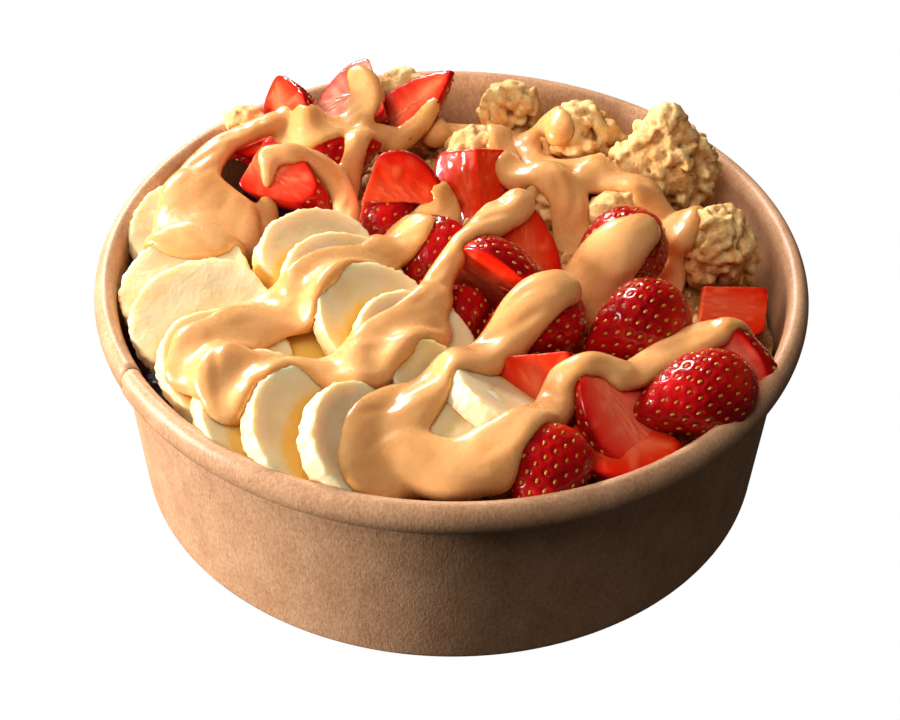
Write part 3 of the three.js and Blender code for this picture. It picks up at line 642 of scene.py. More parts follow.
CLUSTER_CORE = 0.9  # the lump under the flakes, as a share of the cluster's size
FLAKES_AT = 0.94
CLUSTER_FLAKE_RADII = ((1.2, 2.3), (1.0, 1.9), (0.8, 1.4))
CRAGS = 0.2
SMALL_CRAGS = 0.14
CLUSTER_GRAIN = 0.22
PEAK_FLAKES = 0.85  # the flakes on the peaked one are this much smaller
PEAK_TIP = 0.97


def cluster_piece(name, at, size, peak, seed):
    chance = np.random.default_rng(100 + seed)
    at, half = np.array(at), np.array(size) / 2
    block = Block(at - half * 1.4 - 2, at + half * 1.4 + 2, CLUSTER_STEP)
    points = block.everywhere()

    def crags(unit):
        return CRAGS * unevenness(unit * 1.6, 1, seed) + SMALL_CRAGS * unevenness(unit * 3.6, 1, seed + 9)

    local = (points - at) / half
    narrow = 1 - peak * np.clip(local[..., 2], 0, PEAK_TIP)
    local[..., :2] /= narrow[..., None]
    away = np.linalg.norm(local, axis=-1)
    unit = local / np.maximum(away, 1e-6)[..., None]
    block.values[:] = (away - CLUSTER_CORE - crags(unit)) * half.min() * (0.45 if peak else 0.8)
    directions = chance.normal(size=(int(2.2 * half.sum()) * 4, 3))
    directions /= np.linalg.norm(directions, axis=1)[:, None]
    for unit in directions:
        out = unit * (FLAKES_AT + crags(unit[None])[0])
        out[:2] *= 1 - peak * max(0, min(PEAK_TIP, out[2]))
        radii = any_radii(chance, CLUSTER_FLAKE_RADII)
        if peak:
            radii *= PEAK_FLAKES
        press_flake(block, at + out * half, any_turn(chance), radii, 0.5)
    block.values += CLUSTER_GRAIN * unevenness(points, 1.3, seed + 3)
    return relieved("granola_" + name, block, 0.12)


topping_pieces = [heap]
for seed, (name, (at, size, peak)) in enumerate(CLUSTERS.items()):
    piece = cluster_piece(name, at, size, peak, seed + 1)
    topping_pieces.append(served(piece, granola_pale, "granola", name))

# ---------------------------------------------------------------- banana slices
# Ripe banana, peeled and cut about 6 mm thick, laid in overlapping rows along the left. The cut faces are
# smooth, moist and a little translucent, and the rims are paler and rough where the peel came off.
BANANA_THICKNESS = 5.6
BANANA_BEVEL = 0.7
BANANA_SPOKES = 136
THREE_SIDED = 0.03  # how far a slice is from round, as the fruit has faint sides
OVAL = 0.02
PEEL_RIPS = 0.3  # how ragged the rim is where the peel came off
PEEL_GRAIN = 0.35
RIM_ROUGH = 0.35
FACE_SAG = 0.35
FACE_LUMPS = 0.18
HEART_RADIUS = 0.22  # the ring round the seeds, as a share of the slice's radius
HEART_LOBES = 0.07
HEART_WIDTH = 0.07
# name: (centre, direction that the upper face looks in, diameter)
BANANA_SLICES = {
    "banana_back": ((-56.5, 14, 44), (0.1, -0.2, 0.95), 27),
    "banana_left": ((-55, -7, 46), (-0.05, -0.25, 0.95), 28),
    "banana_left_front": ((-50.5, -19.5, 47.4), (0, -0.35, 0.93), 29),
    "banana_wall_1": ((-44.5, -34.5, 47), (0.25, -0.3, 0.9), 28),
    "banana_wall_2": ((-37.5, -45.5, 46), (0.35, -0.35, 0.87), 27),
    "banana_wall_3": ((-27.5, -51.5, 46.5), (0.45, -0.3, 0.82), 27),
    "banana_wall_4": ((-17.5, -56, 47.5), (0.55, -0.3, 0.78), 25),
    "banana_inner_low": ((-35, -25, 45.5), (0.1, -0.2, 0.97), 26),
    "banana_inner_1": ((-28, -1, 49), (0.3, -0.25, 0.9), 26),
    "banana_inner_2": ((-22, -11.5, 50.5), (0.3, -0.3, 0.9), 26),
    "banana_inner_3": ((-16, -22.5, 51), (0.3, -0.35, 0.88), 25),
    "banana_inner_4": ((-8, -30.5, 50.5), (0.3, -0.35, 0.88), 25),
    "banana_scrap_1": ((-13.5, -39, 49), (0.2, -0.5, 0.8), 14),
    "banana_scrap_2": ((-5.5, -38.5, 50.5), (0.3, -0.6, 0.7), 14),
    "banana_front_1": ((1.5, -55.5, 48.5), (-0.1, -0.3, 0.95), 23),
    "banana_front_2": ((9.5, -46, 50), (0.45, 0.25, 0.85), 21),
}


def turn_to(pointing, facing):
    """Rows of the local axes in the bowl's frame: -Z points one way, and +X as nearly as it can another."""
    z = -np.array(pointing, float) / np.linalg.norm(pointing)
    x = np.array(facing, float) - z * np.dot(z, facing)
    x /= np.linalg.norm(x)
    return np.array([x, np.cross(z, x), z])


def banana_finish():
    banana = Finish(
        "banana_flesh", Specular_IOR_Level=0.45, Subsurface_Weight=0.7, Subsurface_Scale=4.0 * MM
    )
    banana.shader.inputs["Subsurface Radius"].default_value = (1.0, 0.7, 0.36)
    cloudy = banana.grain(9, 2)
    fine = banana.grain(0.8, 3, rough=0.65)
    flesh = banana.tones(cloudy, (0.3, coloured(224, 194, 142)), (0.66, coloured(233, 210, 168)))
    at_edge = banana.tones(banana.kept("edge"), (0.74, 0.0), (0.95, 0.8))
    rimmed = banana.laid(at_edge, flesh, coloured(246, 224, 178))
    at_heart = banana.tones(banana.kept("heart"), (0.0, 0.0), (1.0, 0.3))
    ringed = banana.laid(at_heart, rimmed, coloured(206, 172, 90))
    in_patches = banana.tones(banana.grain(14, 2), (0.58, 0.0), (0.72, 0.4))
    honeyed = banana.laid(in_patches, ringed, coloured(244, 200, 88))
    # Painted shade: a darker honey-yellow tint stands in for the shade in the gaps between the slices.
    in_nook = banana.tones(banana.kept("nook"), (0.05, 0.0), (0.7, 0.8))
    banana_shaded_in_gaps = banana.laid(in_nook, honeyed, coloured(240, 186, 66))
    banana.join(banana_shaded_in_gaps, banana.shader.inputs["Base Color"])
    banana.join(banana.tones(fine, (0.3, 0.34), (0.7, 0.5)), banana.shader.inputs["Roughness"])
    banana.raised(fine, 0.12)
    banana.raised(banana.grain(3.2, 2), 0.3)
    return banana.material


def banana_piece(name, at, faces_to, wide, seed):
    r, h, b = wide / 2, BANANA_THICKNESS / 2, BANANA_BEVEL
    turns = np.linspace(0, 2 * math.pi, BANANA_SPOKES, endpoint=False)
    lobes = 1 + THREE_SIDED * np.cos(3 * turns + seed) + OVAL * np.cos(2 * turns + 2 * seed)
    outline = [(0.001, -h)] + [(r * s, -h) for s in (0.3, 0.7, 0.93)]
    outline += [(r - 0.35, -h + 0.05), (r - 0.05, -h + 0.4), (r + 0.05, -h + 1.2)]
    outline += [(r + 0.1, 0), (r + 0.05, h - 1.6)]
    outline += [(r - 0.02, h - b), (r - 0.22 * b, h - 0.5 * b), (r - 0.6 * b, h - 0.15 * b), (r - b, h)]
    outline += [(s * (r - b), h) for s in np.linspace(0.965, 0.03, 16)] + [(0.001, h)]
    rows = []
    for radius, height in outline:
        x, y = radius * lobes * np.cos(turns), radius * lobes * np.sin(turns)
        rows.append(np.stack([x, y, np.full(BANANA_SPOKES, height)], -1))
    local = np.array(rows)
    share = np.array(outline)[:, 0] / r
    is_top = np.array(outline)[:, 1] == h
    shifted = local + [0, 0, 40 * seed]
    ragged = PEEL_RIPS * unevenness(shifted, 1.8, seed) + PEEL_GRAIN * unevenness(shifted, 0.8, seed + 5)
    rimward = np.clip((share - 0.86) / 0.14, 0, 1)[:, None]
    local[..., :2] *= 1 + (ragged * rimward / r)[..., None]
    sag = -FACE_SAG * (1 - share**2)[:, None] + FACE_LUMPS * unevenness(shifted, 4.5, seed + 2)
    local[..., 2] += np.where(is_top[:, None], sag + RIM_ROUGH * ragged * rimward, 0)
    points = local.reshape(-1, 3) @ turn_to([-c for c in faces_to], (1, 0, 0)) + at
    piece = placed_mesh("slice_" + name, points, lathe_faces(len(outline), BANANA_SPOKES))
    keep(piece, "edge", np.where(is_top[:, None], np.repeat(share[:, None], BANANA_SPOKES, 1), 1))
    spread = HEART_RADIUS + HEART_LOBES * np.cos(3 * turns + seed)
    heart = np.exp(-(((share[:, None] - spread[None]) / HEART_WIDTH) ** 2)) * is_top[:, None]
    keep(piece, "heart", heart)
    return piece


banana_flesh = banana_finish()
for seed, (name, (at, faces_to, wide)) in enumerate(BANANA_SLICES.items()):
    piece = banana_piece(name, at, faces_to, wide, seed + 1)
    topping_pieces.append(served(piece, banana_flesh, "banana", name))

# ---------------------------------------------------------------- strawberries
# Ripe strawberries without their leaves, halved, quartered or cut in wedges. The skin is deep red and
# glossy, pitted round each small yellow seed, and the cut faces are orange-red with pale streaks towards
# the core.
# name: (middle of the whole berry, direction of the tip, length, radius, cuts), and each cut is the
# direction that its face looks in and the face's distance from the middle. seen_as turns the directions.
STRAWBERRIES = {
    "strawberry_rim_left": ((-44, 43.5, 49.5), (-1, -0.15, 0), 22, 7.5, [(-0.1, 0.75, 0.65, 0)]),
    "strawberry_back_left": ((-39, 49, 52), (-0.3, 0.9, -0.1), 22, 10.5, [(-0.8, 0.05, 0.6, 0)]),
    "strawberry_back": ((-23, 53, 55), (-0.9, -0.3, 0), 21, 9, [(-0.35, 0.45, 0.8, 0), (0.9, 0.3, 0, 6)]),
    "strawberry_back_right": ((-10.5, 51, 53), (0.75, 0.6, 0.1), 27, 7.5, [(-0.5, 0.35, 0.8, 0)]),
    "strawberry_arch": (
        (-36.5, 25.5, 51), (0.9, -0.5, 0), 25, 7.2,
        [(-0.15, 0.2, 1, 2), (-0.85, 0.5, 0, 8.5), (-0.3, -0.85, 0.45, 5)],
    ),
    "strawberry_behind_arch": ((-26, 37.5, 48), (0.8, 0.3, 0.1), 22, 7, [(0, -0.3, -1, 0)]),
    "strawberry_upright": (
        (-10, 13.5, 54), (0.9, -0.3, 0.1), 24, 11.5,
        [(0.05, 0.15, 1, 3), (0, -1, 0.1, 0), (-0.9, 0.3, 0, 9)],
    ),
    "strawberry_below_upright": ((-13.5, 14.5, 48), (-0.4, -0.6, 0.3), 20, 8, [(0, 0.2, -1, 0)]),
    "strawberry_middle_back": (
        (4.5, 24, 50), (0.05, -0.9, 0.2), 26, 9,
        [(-0.55, 0, 0.8, 3), (0.65, 0.1, 0.75, 4), (-0.05, 1, 0, 9)],
    ),
    "strawberry_middle_left": ((-3.5, 0.5, 49), (-0.6, -0.75, 0.2), 24, 9, [(0.5, 0.2, -0.8, 0)]),
    "strawberry_cone": ((15, -1.5, 52), (-0.05, 1, 0), 26, 8.8, [(0.45, 0.05, 0.9, 2)]),
    "strawberry_middle": ((10.5, -13, 53), (0.9, -0.25, 0.1), 26, 10, [(-0.5, -0.65, 0.55, 1)]),
    "strawberry_middle_front": ((15.5, -23, 50), (-0.8, -0.4, 0.3), 26, 9.5, [(0, 0, -1, 0)]),
    "strawberry_right": ((34, -2.5, 52), (-0.65, -0.65, 0.3), 26, 9.8, [(0, 0, -1, 0)]),
    "strawberry_dark": ((37, -22.5, 50), (-0.85, -0.5, 0.1), 25, 9.5, [(0, 0, -1, 0)]),
    "strawberry_rim_right": (
        (58.5, -9, 45), (1, -0.1, 0), 24, 9,
        [(0, 0.1, 1, 2), (-1, 0.1, 0, 6.5), (1, -0.1, 0, 7), (0, 1, 0, 4.5)],
    ),
    "strawberry_slab_right": (
        (58.5, -29.5, 47), (0.85, -0.5, 0), 24, 7,
        [(-0.35, -0.3, 0.9, 3), (0.85, -0.4, 0.3, 8), (-0.85, 0.5, 0, 8)],
    ),
    "strawberry_front_right": ((47.5, -41.5, 48.5), (-0.9, -0.3, 0.2), 28, 9.8, [(0, 0, -1, 0)]),
    "strawberry_wedge": (
        (17.5, -39.5, 50), (-0.05, -0.85, 0.45), 22, 9.5,
        [(-0.3, -0.1, 0.95, 1.5), (0, 0.9, -0.3, 5)],
    ),
    "strawberry_flesh_up": ((32.5, -46, 49), (-0.5, 0.8, 0), 26, 9.8, [(0.45, 0.4, 0.8, 1.5)]),
    "strawberry_front_low": ((35, -52.5, 46), (1, 0.1, 0), 25, 8.5, [(0.1, 0.7, 0.7, 0)]),
    "strawberry_front": ((18.5, -61.5, 45.5), (-0.25, -0.85, 0.3), 22, 8.5, [(0, 0, -1, 0)]),
    "strawberry_deep": ((2, -17.5, 45), (0.2, -0.8, 0.5), 20, 8, [(0, 0, -1, 0)]),
}
LOOKING_DOWN = math.radians(40)
BERRY_OVAL = 0.04
BERRY_LOBES = 0.03
WIDEST_AT = 0.72  # below 1, the berry is widest nearer to its leaves than to its tip
BLUNTNESS = 0.75
TAPER = 0.12
SKIN_SWELL = 0.22
STREAK_RELIEF = 0.16
SEED_SPACING = 2.65
PIT_DEPTH = 0.4
PIT_WIDTH = 0.75
CUT_SHARPNESS = 26.0  # how crisply a cut face meets the skin
CUT_BLUR = 0.22  # over how many millimetres the flesh's colour gives way to the skin's
MORE_CORNERS = np.array([0, -0.22, 0.32])  # meshes are finer towards the front and the top, which show
PALE_HEARTED = {
    "strawberry_flesh_up": 0.15,
    "strawberry_back": 0.9,
    "strawberry_slab_right": 0.35,
    "strawberry_arch": 0.1,
}
LITTLE_SEEN = (
    "strawberry_below_upright",
    "strawberry_behind_arch",
    "strawberry_deep",
    "strawberry_rim_left",
)
HUSK_SIZE = [0.4, 0.28, 0.64]
HUSK_ABOVE = 0.12  # how far a seed's middle lies above the bottom of its pit


def seen_as(right, up, towards):
    """A direction as someone sees it who looks down at the bowl from the front."""
    sin, cos = math.sin(LOOKING_DOWN), math.cos(LOOKING_DOWN)
    direction = np.array([right, sin * up - cos * towards, cos * up + sin * towards])
    return direction / np.linalg.norm(direction)


class Berry:
    """One cut strawberry: a tapering lathe body with knife cuts, in its own frame with the tip at -Z."""

    def __init__(self, at, tip, long, round_, cuts, seed):
        self.at, self.long, self.round, self.seed = np.array(at), long, round_, seed
        self.normals = np.array([seen_as(*c[:3]) for c in cuts])
        self.axes = turn_to(seen_as(*tip), self.normals[0])
        self.distances = np.array([c[3] for c in cuts], float)

    def skin_radius(self, local):
        """The uncut skin's distance from the axis beside each point of the berry's own frame."""
        t = np.clip(0.5 - local[..., 2] / self.long, 1e-4, 1 - 1e-4)
        angle = np.arctan2(local[..., 1], local[..., 0])
        oval = BERRY_OVAL * np.cos(2 * angle + self.seed)
        lobes = 1 + oval + BERRY_LOBES * np.cos(3 * angle + 2 * self.seed)
        return self.round * lobes * np.sin(np.pi * t**WIDEST_AT) ** BLUNTNESS * (1 - TAPER * t)

    def into(self, points):
        return (points - self.at) @ self.axes.T

    def is_within(self, points):
        local = self.into(points)
        from_axis = np.hypot(local[..., 0], local[..., 1])
        return (np.abs(local[..., 2]) < self.long / 2) & (from_axis < self.skin_radius(local))

    def heart(self):
        """The point deepest inside the cut berry."""
        spread = np.linspace(-0.45, 0.45, 15)
        across, along = spread * 2 * self.round, spread * self.long
        local = np.stack(np.meshgrid(across, across, along), -1).reshape(-1, 3)
        points = local @ self.axes + self.at
        room = [self.skin_radius(local) - np.hypot(local[:, 0], local[:, 1])]
        room += [self.long / 2 - np.abs(local[:, 2])]
        room += [d - (points - self.at) @ n for n, d in zip(self.normals, self.distances)]
        return points[np.argmax(np.min(room, axis=0))]

    def reach(self, origin, directions):
        """How far the skin and each cut lie from a point inside, along some directions."""
        near, far = np.zeros(len(directions)), np.full(len(directions), 2.0 * self.long)
        for _ in range(26):
            middle = (near + far) / 2
            within = self.is_within(origin + directions * middle[:, None])
            near, far = np.where(within, middle, near), np.where(within, far, middle)
        to_cuts = [
            (d - (origin - self.at) @ n) / np.maximum(directions @ n, 1e-4)
            for n, d in zip(self.normals, self.distances)
        ]
        return near, np.array(to_cuts)

    def seeds(self):
        """Where the skin's seeds sit and where they face, in the bowl's frame, spaced along a spiral."""
        places = []
        turn, z = self.seed * 1.3, 0.47 * self.long
        golden = math.pi * (3 - math.sqrt(5))
        while z > -0.49 * self.long:
            local = np.array([[math.cos(turn), math.sin(turn), z]])
            radius = float(self.skin_radius(local)[0])
            if radius > 0.9:
                places.append([radius * math.cos(turn), radius * math.sin(turn), z])
            z -= SEED_SPACING**2 / (2 * math.pi * max(radius, 1.2)) * 0.9
            turn += golden
        local = np.array(places)
        points = local @ self.axes + self.at
        clear = np.all((points - self.at) @ self.normals.T < self.distances - 0.5, axis=1)
        return points[clear], local[clear]


def strawberry_finish():
    berry = Finish(
        "strawberry_skin_and_flesh",
        Specular_IOR_Level=0.15, Coat_Weight=0.8, Coat_Roughness=0.07, Coat_IOR=1.38,
        Subsurface_Weight=0.12, Subsurface_Scale=1.6 * MM,
    )
    berry.shader.inputs["Subsurface Radius"].default_value = (1.0, 0.12, 0.06)
    flesh, deep, ripe = berry.kept("flesh"), berry.kept("deep"), berry.kept("ripe")
    fine = berry.grain(0.7, 3, rough=0.6)
    blotch = berry.grain(6, 2)
    dark_skin = berry.tones(blotch, (0.3, coloured(132, 4, 10)), (0.7, coloured(186, 12, 14)))
    light_skin = berry.tones(blotch, (0.3, coloured(196, 22, 12)), (0.7, coloured(226, 52, 22)))
    skin = berry.laid(ripe, dark_skin, light_skin)
    streaks = berry.kept("streak")
    cut = berry.tones(
        deep,
        (0.0, coloured(196, 8, 4)), (0.16, coloured(232, 32, 8)),
        (0.5, coloured(238, 56, 18)), (1.0, coloured(246, 112, 72)),
    )
    streaked = berry.laid(streaks, cut, coloured(250, 120, 76))
    paled = berry.laid(berry.kept("pale"), streaked, coloured(248, 176, 148))
    sliced = berry.laid(flesh, skin, paled)
    # Painted shade: the skin and flesh are darkened to a deep red in the gaps between the toppings.
    in_nook = berry.tones(berry.kept("nook"), (0.1, 0.0), (1.0, 0.6))
    berry_shaded_in_gaps = berry.laid(in_nook, sliced, coloured(112, 4, 6))
    berry.join(berry_shaded_in_gaps, berry.shader.inputs["Base Color"])
    skin_gloss = berry.tones(fine, (0.3, 0.2), (0.7, 0.34))
    flesh_gloss = berry.tones(fine, (0.3, 0.26), (0.7, 0.42))
    berry.join(berry.laid(flesh, skin_gloss, flesh_gloss), berry.shader.inputs["Roughness"])
    berry.raised(fine, 0.1)
    berry.raised(blotch, 0.3)
    return berry.material


def seed_finish():
    husk = Finish("strawberry_seeds", Roughness=0.35, Coat_Weight=0.5, Coat_Roughness=0.1)
    husk.join(
        husk.tones(husk.grain(1.6, 2), (0.3, coloured(166, 86, 24)), (0.7, coloured(214, 148, 58))),
        husk.shader.inputs["Base Color"],
    )
    husk.raised(husk.grain(0.4, 2), 0.06)
    return husk.material


def berry_piece(name, facts, seed, level):
    berry = Berry(*facts, seed)
    directions, faces = round_ball(level)
    directions = directions + MORE_CORNERS
    directions /= np.linalg.norm(directions, axis=1)[:, None]
    origin = berry.heart()
    to_skin, to_cuts = berry.reach(origin, directions)
    reaches = np.concatenate([to_skin[None], to_cuts])
    nearest = reaches.min(0)
    reach = nearest * np.sum((nearest / reaches) ** CUT_SHARPNESS, axis=0) ** (-1 / CUT_SHARPNESS)
    to_flesh = to_cuts.min(0)
    flesh = 1 / (1 + np.exp(np.clip((to_flesh - to_skin) / CUT_BLUR, -30, 30)))
    points = origin + directions * reach[:, None]
    seed_points, seed_local = berry.seeds()
    dent = np.zeros(len(points))
    for p in seed_points:
        away = np.linalg.norm(points - p, axis=1)
        dent = np.maximum(dent, np.exp(-((away / PIT_WIDTH) ** 2)))
    dent *= 1 - flesh
    local = berry.into(points)
    rho = np.hypot(local[:, 0], local[:, 1])
    deep = np.clip(1 - rho / np.maximum(berry.skin_radius(local), 0.5), 0, 1)
    angle = np.arctan2(local[:, 1], local[:, 0])
    spokes = unevenness(np.stack([angle * 5, local[:, 2] * 0.55, deep * 1.2 + seed], -1), 1, seed)
    streak = np.clip(spokes * 1.6 - 0.25, 0, 1) * np.clip(deep * 3, 0, 1) * 0.55 * flesh
    skin_swell = SKIN_SWELL * unevenness(points, 5, seed) * (1 - flesh)
    swell = skin_swell + STREAK_RELIEF * spokes * flesh * np.clip(3 * deep, 0, 1)
    points = points + directions * (swell - PIT_DEPTH * dent)[:, None]
    piece = placed_mesh("cut_" + name, points, faces)
    t = 0.5 - local[:, 2] / berry.long
    keep(piece, "flesh", flesh)
    keep(piece, "deep", deep)
    keep(piece, "streak", streak)
    paleness = PALE_HEARTED.get(name, 0) * np.clip(2.4 * deep, 0, 1)
    keep(piece, "pale", paleness * (0.75 + 0.5 * spokes) * flesh)
    keep(piece, "ripe", np.clip(0.9 - 3.2 * t + 0.5 * unevenness(points, 7, seed + 4), 0, 1))
    return piece, berry, seed_points, seed_local


berry_skin = strawberry_finish()
husk_points, husk_faces = round_ball(1)
husk_points = husk_points * HUSK_SIZE
all_husks, all_husk_faces = [], []
for seed, (name, facts) in enumerate(STRAWBERRIES.items()):
    level = 5 if name in LITTLE_SEEN else 6
    piece, berry, seed_points, seed_local = berry_piece(name, facts, seed + 1, level)
    topping_pieces.append(served(piece, berry_skin, "strawberry", name))
    for at, local in zip(seed_points, seed_local):
        outward = np.array([local[0], local[1], 0.35 * local[2]])
        outward /= np.linalg.norm(outward)
        along = np.array([0, 0, 1.0]) - outward * outward[2]
        along /= np.linalg.norm(along)
        rows = np.array([np.cross(along, outward), outward, along]) @ berry.axes
        world_out = outward @ berry.axes
        all_husk_faces.append(husk_faces + len(husk_points) * len(all_husks))
        all_husks.append(husk_points @ rows + at - world_out * (PIT_DEPTH - HUSK_ABOVE))
served(
    placed_mesh("strawberry_seeds", np.concatenate(all_husks), np.concatenate(all_husk_faces)),
    seed_finish(), "strawberry",
)

# ---------------------------------------------------------------- peanut butter
# Smooth peanut butter, thinned until it pours, and poured to and fro over the toppings from a spoon. It
# lies on them as a thick glossy coat, sags into the gaps between them, and shows soft folds.
# Each pour is a list of strokes: plan points with the stroke's width there, its thickness, and how tautly
# it spans the gaps that it crosses, from 0, following every dip, to 1.
POURS = {
    "sauce_back_left": [
        ([(-22, 58, 6), (-20, 54, 9), (-20, 49, 9), (-22, 46, 8)], 1.3, 0.2),
        ([(-23, 46, 8), (-29, 44, 10), (-34, 42, 9)], 1.3, 0.3),
        ([(-27, 40, 7), (-32, 38, 8), (-37, 40, 7)], 1.4, 0.6),
        (
            [(-37, 48, 4), (-40, 45, 5), (-45, 42, 5.5), (-51, 38, 6.5), (-55, 31, 9), (-57, 22, 12)],
            2.2, 1.0,
        ),
        ([(-57, 25, 11), (-57, 19, 14), (-56, 11, 17), (-55, 6, 15)], 2.4, 0.5),
        ([(-53, 24, 10), (-50, 16, 14), (-48, 9, 14)], 2.4, 0.7),
        ([(-62, 5, 8), (-56, 3, 9), (-49, 3, 9), (-43, 6, 8)], 2.2, 0.4),
        ([(-51, 16, 13), (-45, 17, 13), (-40, 19, 11), (-36, 20, 9)], 2.2, 1.0),
        ([(-50, 7, 8), (-44, 11, 9), (-40, 15, 8), (-37, 18, 7)], 2.2, 0.9),
        ([(-40, 29, 4.5), (-40, 25, 4.5), (-40, 20, 4.5), (-40, 15, 5)], 2.2, 1.0),
        ([(-40, 28, 5), (-34, 29, 6), (-29, 29, 6), (-25, 26, 6), (-23, 20, 6), (-23, 15, 5.5)], 2.6, 0.9),
        ([(-15, 46, 4.5), (-18, 43, 5.5), (-21, 38, 6), (-23, 32, 6), (-24, 26, 6)], 2.4, 0.8),
        ([(-3, 51, 3), (-6, 48, 5.5), (-10, 45, 6.5), (-14, 44, 6)], 1.0, 0),
    ],
    "sauce_patch": [
        ([(-3, 15, 6), (-3, 11, 10), (-5, 6, 11), (-8, 2, 11), (-12, 0, 10)], 2.1, 0.6),
        ([(-8, 9, 8), (-11, 4, 9)], 1.4, 0.4),
        ([(-12, 2, 9), (-15, -3, 9), (-18, -7, 9)], 1.6, 0.5),
    ],
    "sauce_bananas": [
        ([(13, 5, 9), (9, 1, 8.5), (5, -4, 6.5), (1, -9, 5.6), (-2, -14, 6), (-4, -20, 8)], 3.0, 0.95),
        ([(-4, -21, 9), (-8, -27, 10), (-12, -32, 12), (-17, -37, 12)], 2.2, 0.5),
        ([(-4, -28, 9), (-9, -33, 10), (-16, -38, 12), (-22, -40, 10)], 2.2, 0.5),
        ([(-16, -40, 9), (-22, -39, 9), (-28, -39, 8), (-34, -39, 7), (-39, -41, 8)], 2.4, 0.6),
        (
            [(-14, -4, 9), (-20, -8, 10), (-26, -13, 12), (-31, -18, 13), (-37, -22, 13.5),
             (-43, -27, 13.5), (-48, -33, 13)],
            1.7, 0.4,
        ),
        ([(-24, -11, 10), (-28, -17, 11), (-30, -21, 11)], 1.4, 0.4),
        ([(-51, -33, 10), (-52, -39, 10)], 2.4, 0.2),
        ([(-48, -34, 13), (-46, -41, 14), (-43, -47, 12)], 2.8, 0.3),
        ([(-42, -41, 11), (-36, -42, 10)], 2.4, 0.3),
    ],
    "sauce_front": [
        ([(22, -20, 9), (17, -24, 12), (13, -28, 11), (9, -32, 9)], 2.8, 0.6),
        ([(10, -31, 9), (5, -36, 9), (0, -41, 9), (-4, -46, 10), (-8, -50, 12)], 2.6, 0.8),
        ([(10, -32, 8), (5, -38, 8)], 2.4, 0.6),
        ([(-10, -50, 14), (-14, -55, 16), (-14, -61, 16)], 2.6, 0.3),
        ([(-14, -61, 16), (-8, -62, 15), (0, -64, 13), (7, -63, 13)], 2.6, 0.4),
        ([(-7, -60, 9), (0, -62, 9), (8, -60, 10)], 2.4, 0.4),
        ([(8, -61, 11), (13, -57, 9.5), (18, -51, 8), (22, -45, 6.5)], 2.6, 0.6),
        ([(20, -46, 7.5), (22, -42, 7), (25, -41, 6.5), (29, -40, 6), (33, -40, 6)], 2.6, 0.7),
        ([(39, -4, 9), (34, -8, 12), (30, -11, 12), (27, -13, 9)], 2.0, 0.5),
        ([(33, -6, 10), (27, -8, 10), (23, -10, 7)], 1.6, 0.9),
        ([(27, -13, 8), (24, -17, 7), (22, -21, 7)], 1.6, 0.6),
        (
            [(64, -22, 5), (60, -25, 5), (55, -27, 6), (49, -29, 8.5), (43, -33, 9), (37, -38, 8),
             (33, -41, 6)],
            2.2, 0.9,
        ),
    ],
    "sauce_granola": [
        ([(-4, 49, 8), (2, 51, 9), (9, 50, 10), (15, 46, 10), (19, 39, 10), (22, 32, 9)], 1.8, 0.6),
        ([(10, 42, 8), (11, 35, 8), (12, 28, 8)], 1.8, 0.5),
        ([(18, 47, 7), (22, 46, 8), (23, 40, 8)], 1.4, 0.3),
        ([(19, 31, 8), (25, 30, 7), (31, 29, 6)], 1.5, 0.4),
        ([(14, 25, 7), (20, 23, 8), (25, 19, 9), (26, 11, 8)], 2.0, 0.5),
        ([(30, 25, 7), (36, 23, 8), (43, 22, 8.5), (50, 20, 7)], 1.7, 0.5),
        ([(40, 20, 8), (46, 16, 9), (50, 11, 9), (48, 5, 8)], 2.0, 0.5),
        ([(47, 9, 8), (46, 3, 8), (45, -1, 7)], 2.0, 0.5),
    ],
}
SAUCE_STEP = 0.66
SAUCE_BELOW = 30  # nothing of the sauce lies lower than this
SAG = 2.6  # how deep it sinks into a gap between toppings
FOLD_WIDTH = 1.8  # how softly one stroke runs into the next
BRIDGED = 3.4  # it spans gaps up to twice this wide
SOAK = 0.35  # how far it reaches into what it lies on
SAUCE_CLEAR = 0.3  # how far it keeps from the bowl's wall
BAND = 11.0  # how many steps from a surface its distances are kept for
EVENING = [0.1, 0.25, 0.3, 0.25, 0.1]
FULLY_HUNG = 2.5  # a line this far above the toppings hangs free
FOLDS_ACROSS = 1.3
FOLD_LENGTH = 8
FOLD_WANDER = 0.5
EDGE_ROUND = 3.2  # the higher, the more squarely a stroke's edge drops
CREASE_WIDTH = 0.3
CREASE_DEPTH = 0.48  # how much thinner the sauce is in a crease


def corners_of(piece):
    """A piece's corners in millimetres."""
    flat = np.empty(3 * len(piece.data.vertices), np.float32)
    piece.data.vertices.foreach_get("co", flat)
    return flat.reshape(-1, 3) / MM


def over_toppings(pieces):
    """A block holding the distance to the toppings' surfaces."""
    block = Block((-78, -78, SAUCE_BELOW), (78, 78, 72), SAUCE_STEP)
    points, faces, count = [], [], 0
    for piece in pieces:
        mesh = piece.data
        mesh.calc_loop_triangles()
        triangles = np.empty(3 * len(mesh.loop_triangles), np.int32)
        mesh.loop_triangles.foreach_get("vertices", triangles)
        points.append(corners_of(piece))
        faces.append(triangles.reshape(-1, 3) + count)
        count += len(mesh.vertices)
    in_steps = (np.concatenate(points) - block.low) / SAUCE_STEP
    grid = openvdb.FloatGrid.createLevelSetFromPolygons(
        in_steps.astype(np.float32), triangles=np.concatenate(faces).astype(np.uint32), halfWidth=BAND
    )
    grid.copyToArray(block.values, ijk=(0, 0, 0))
    block.values *= SAUCE_STEP
    return block


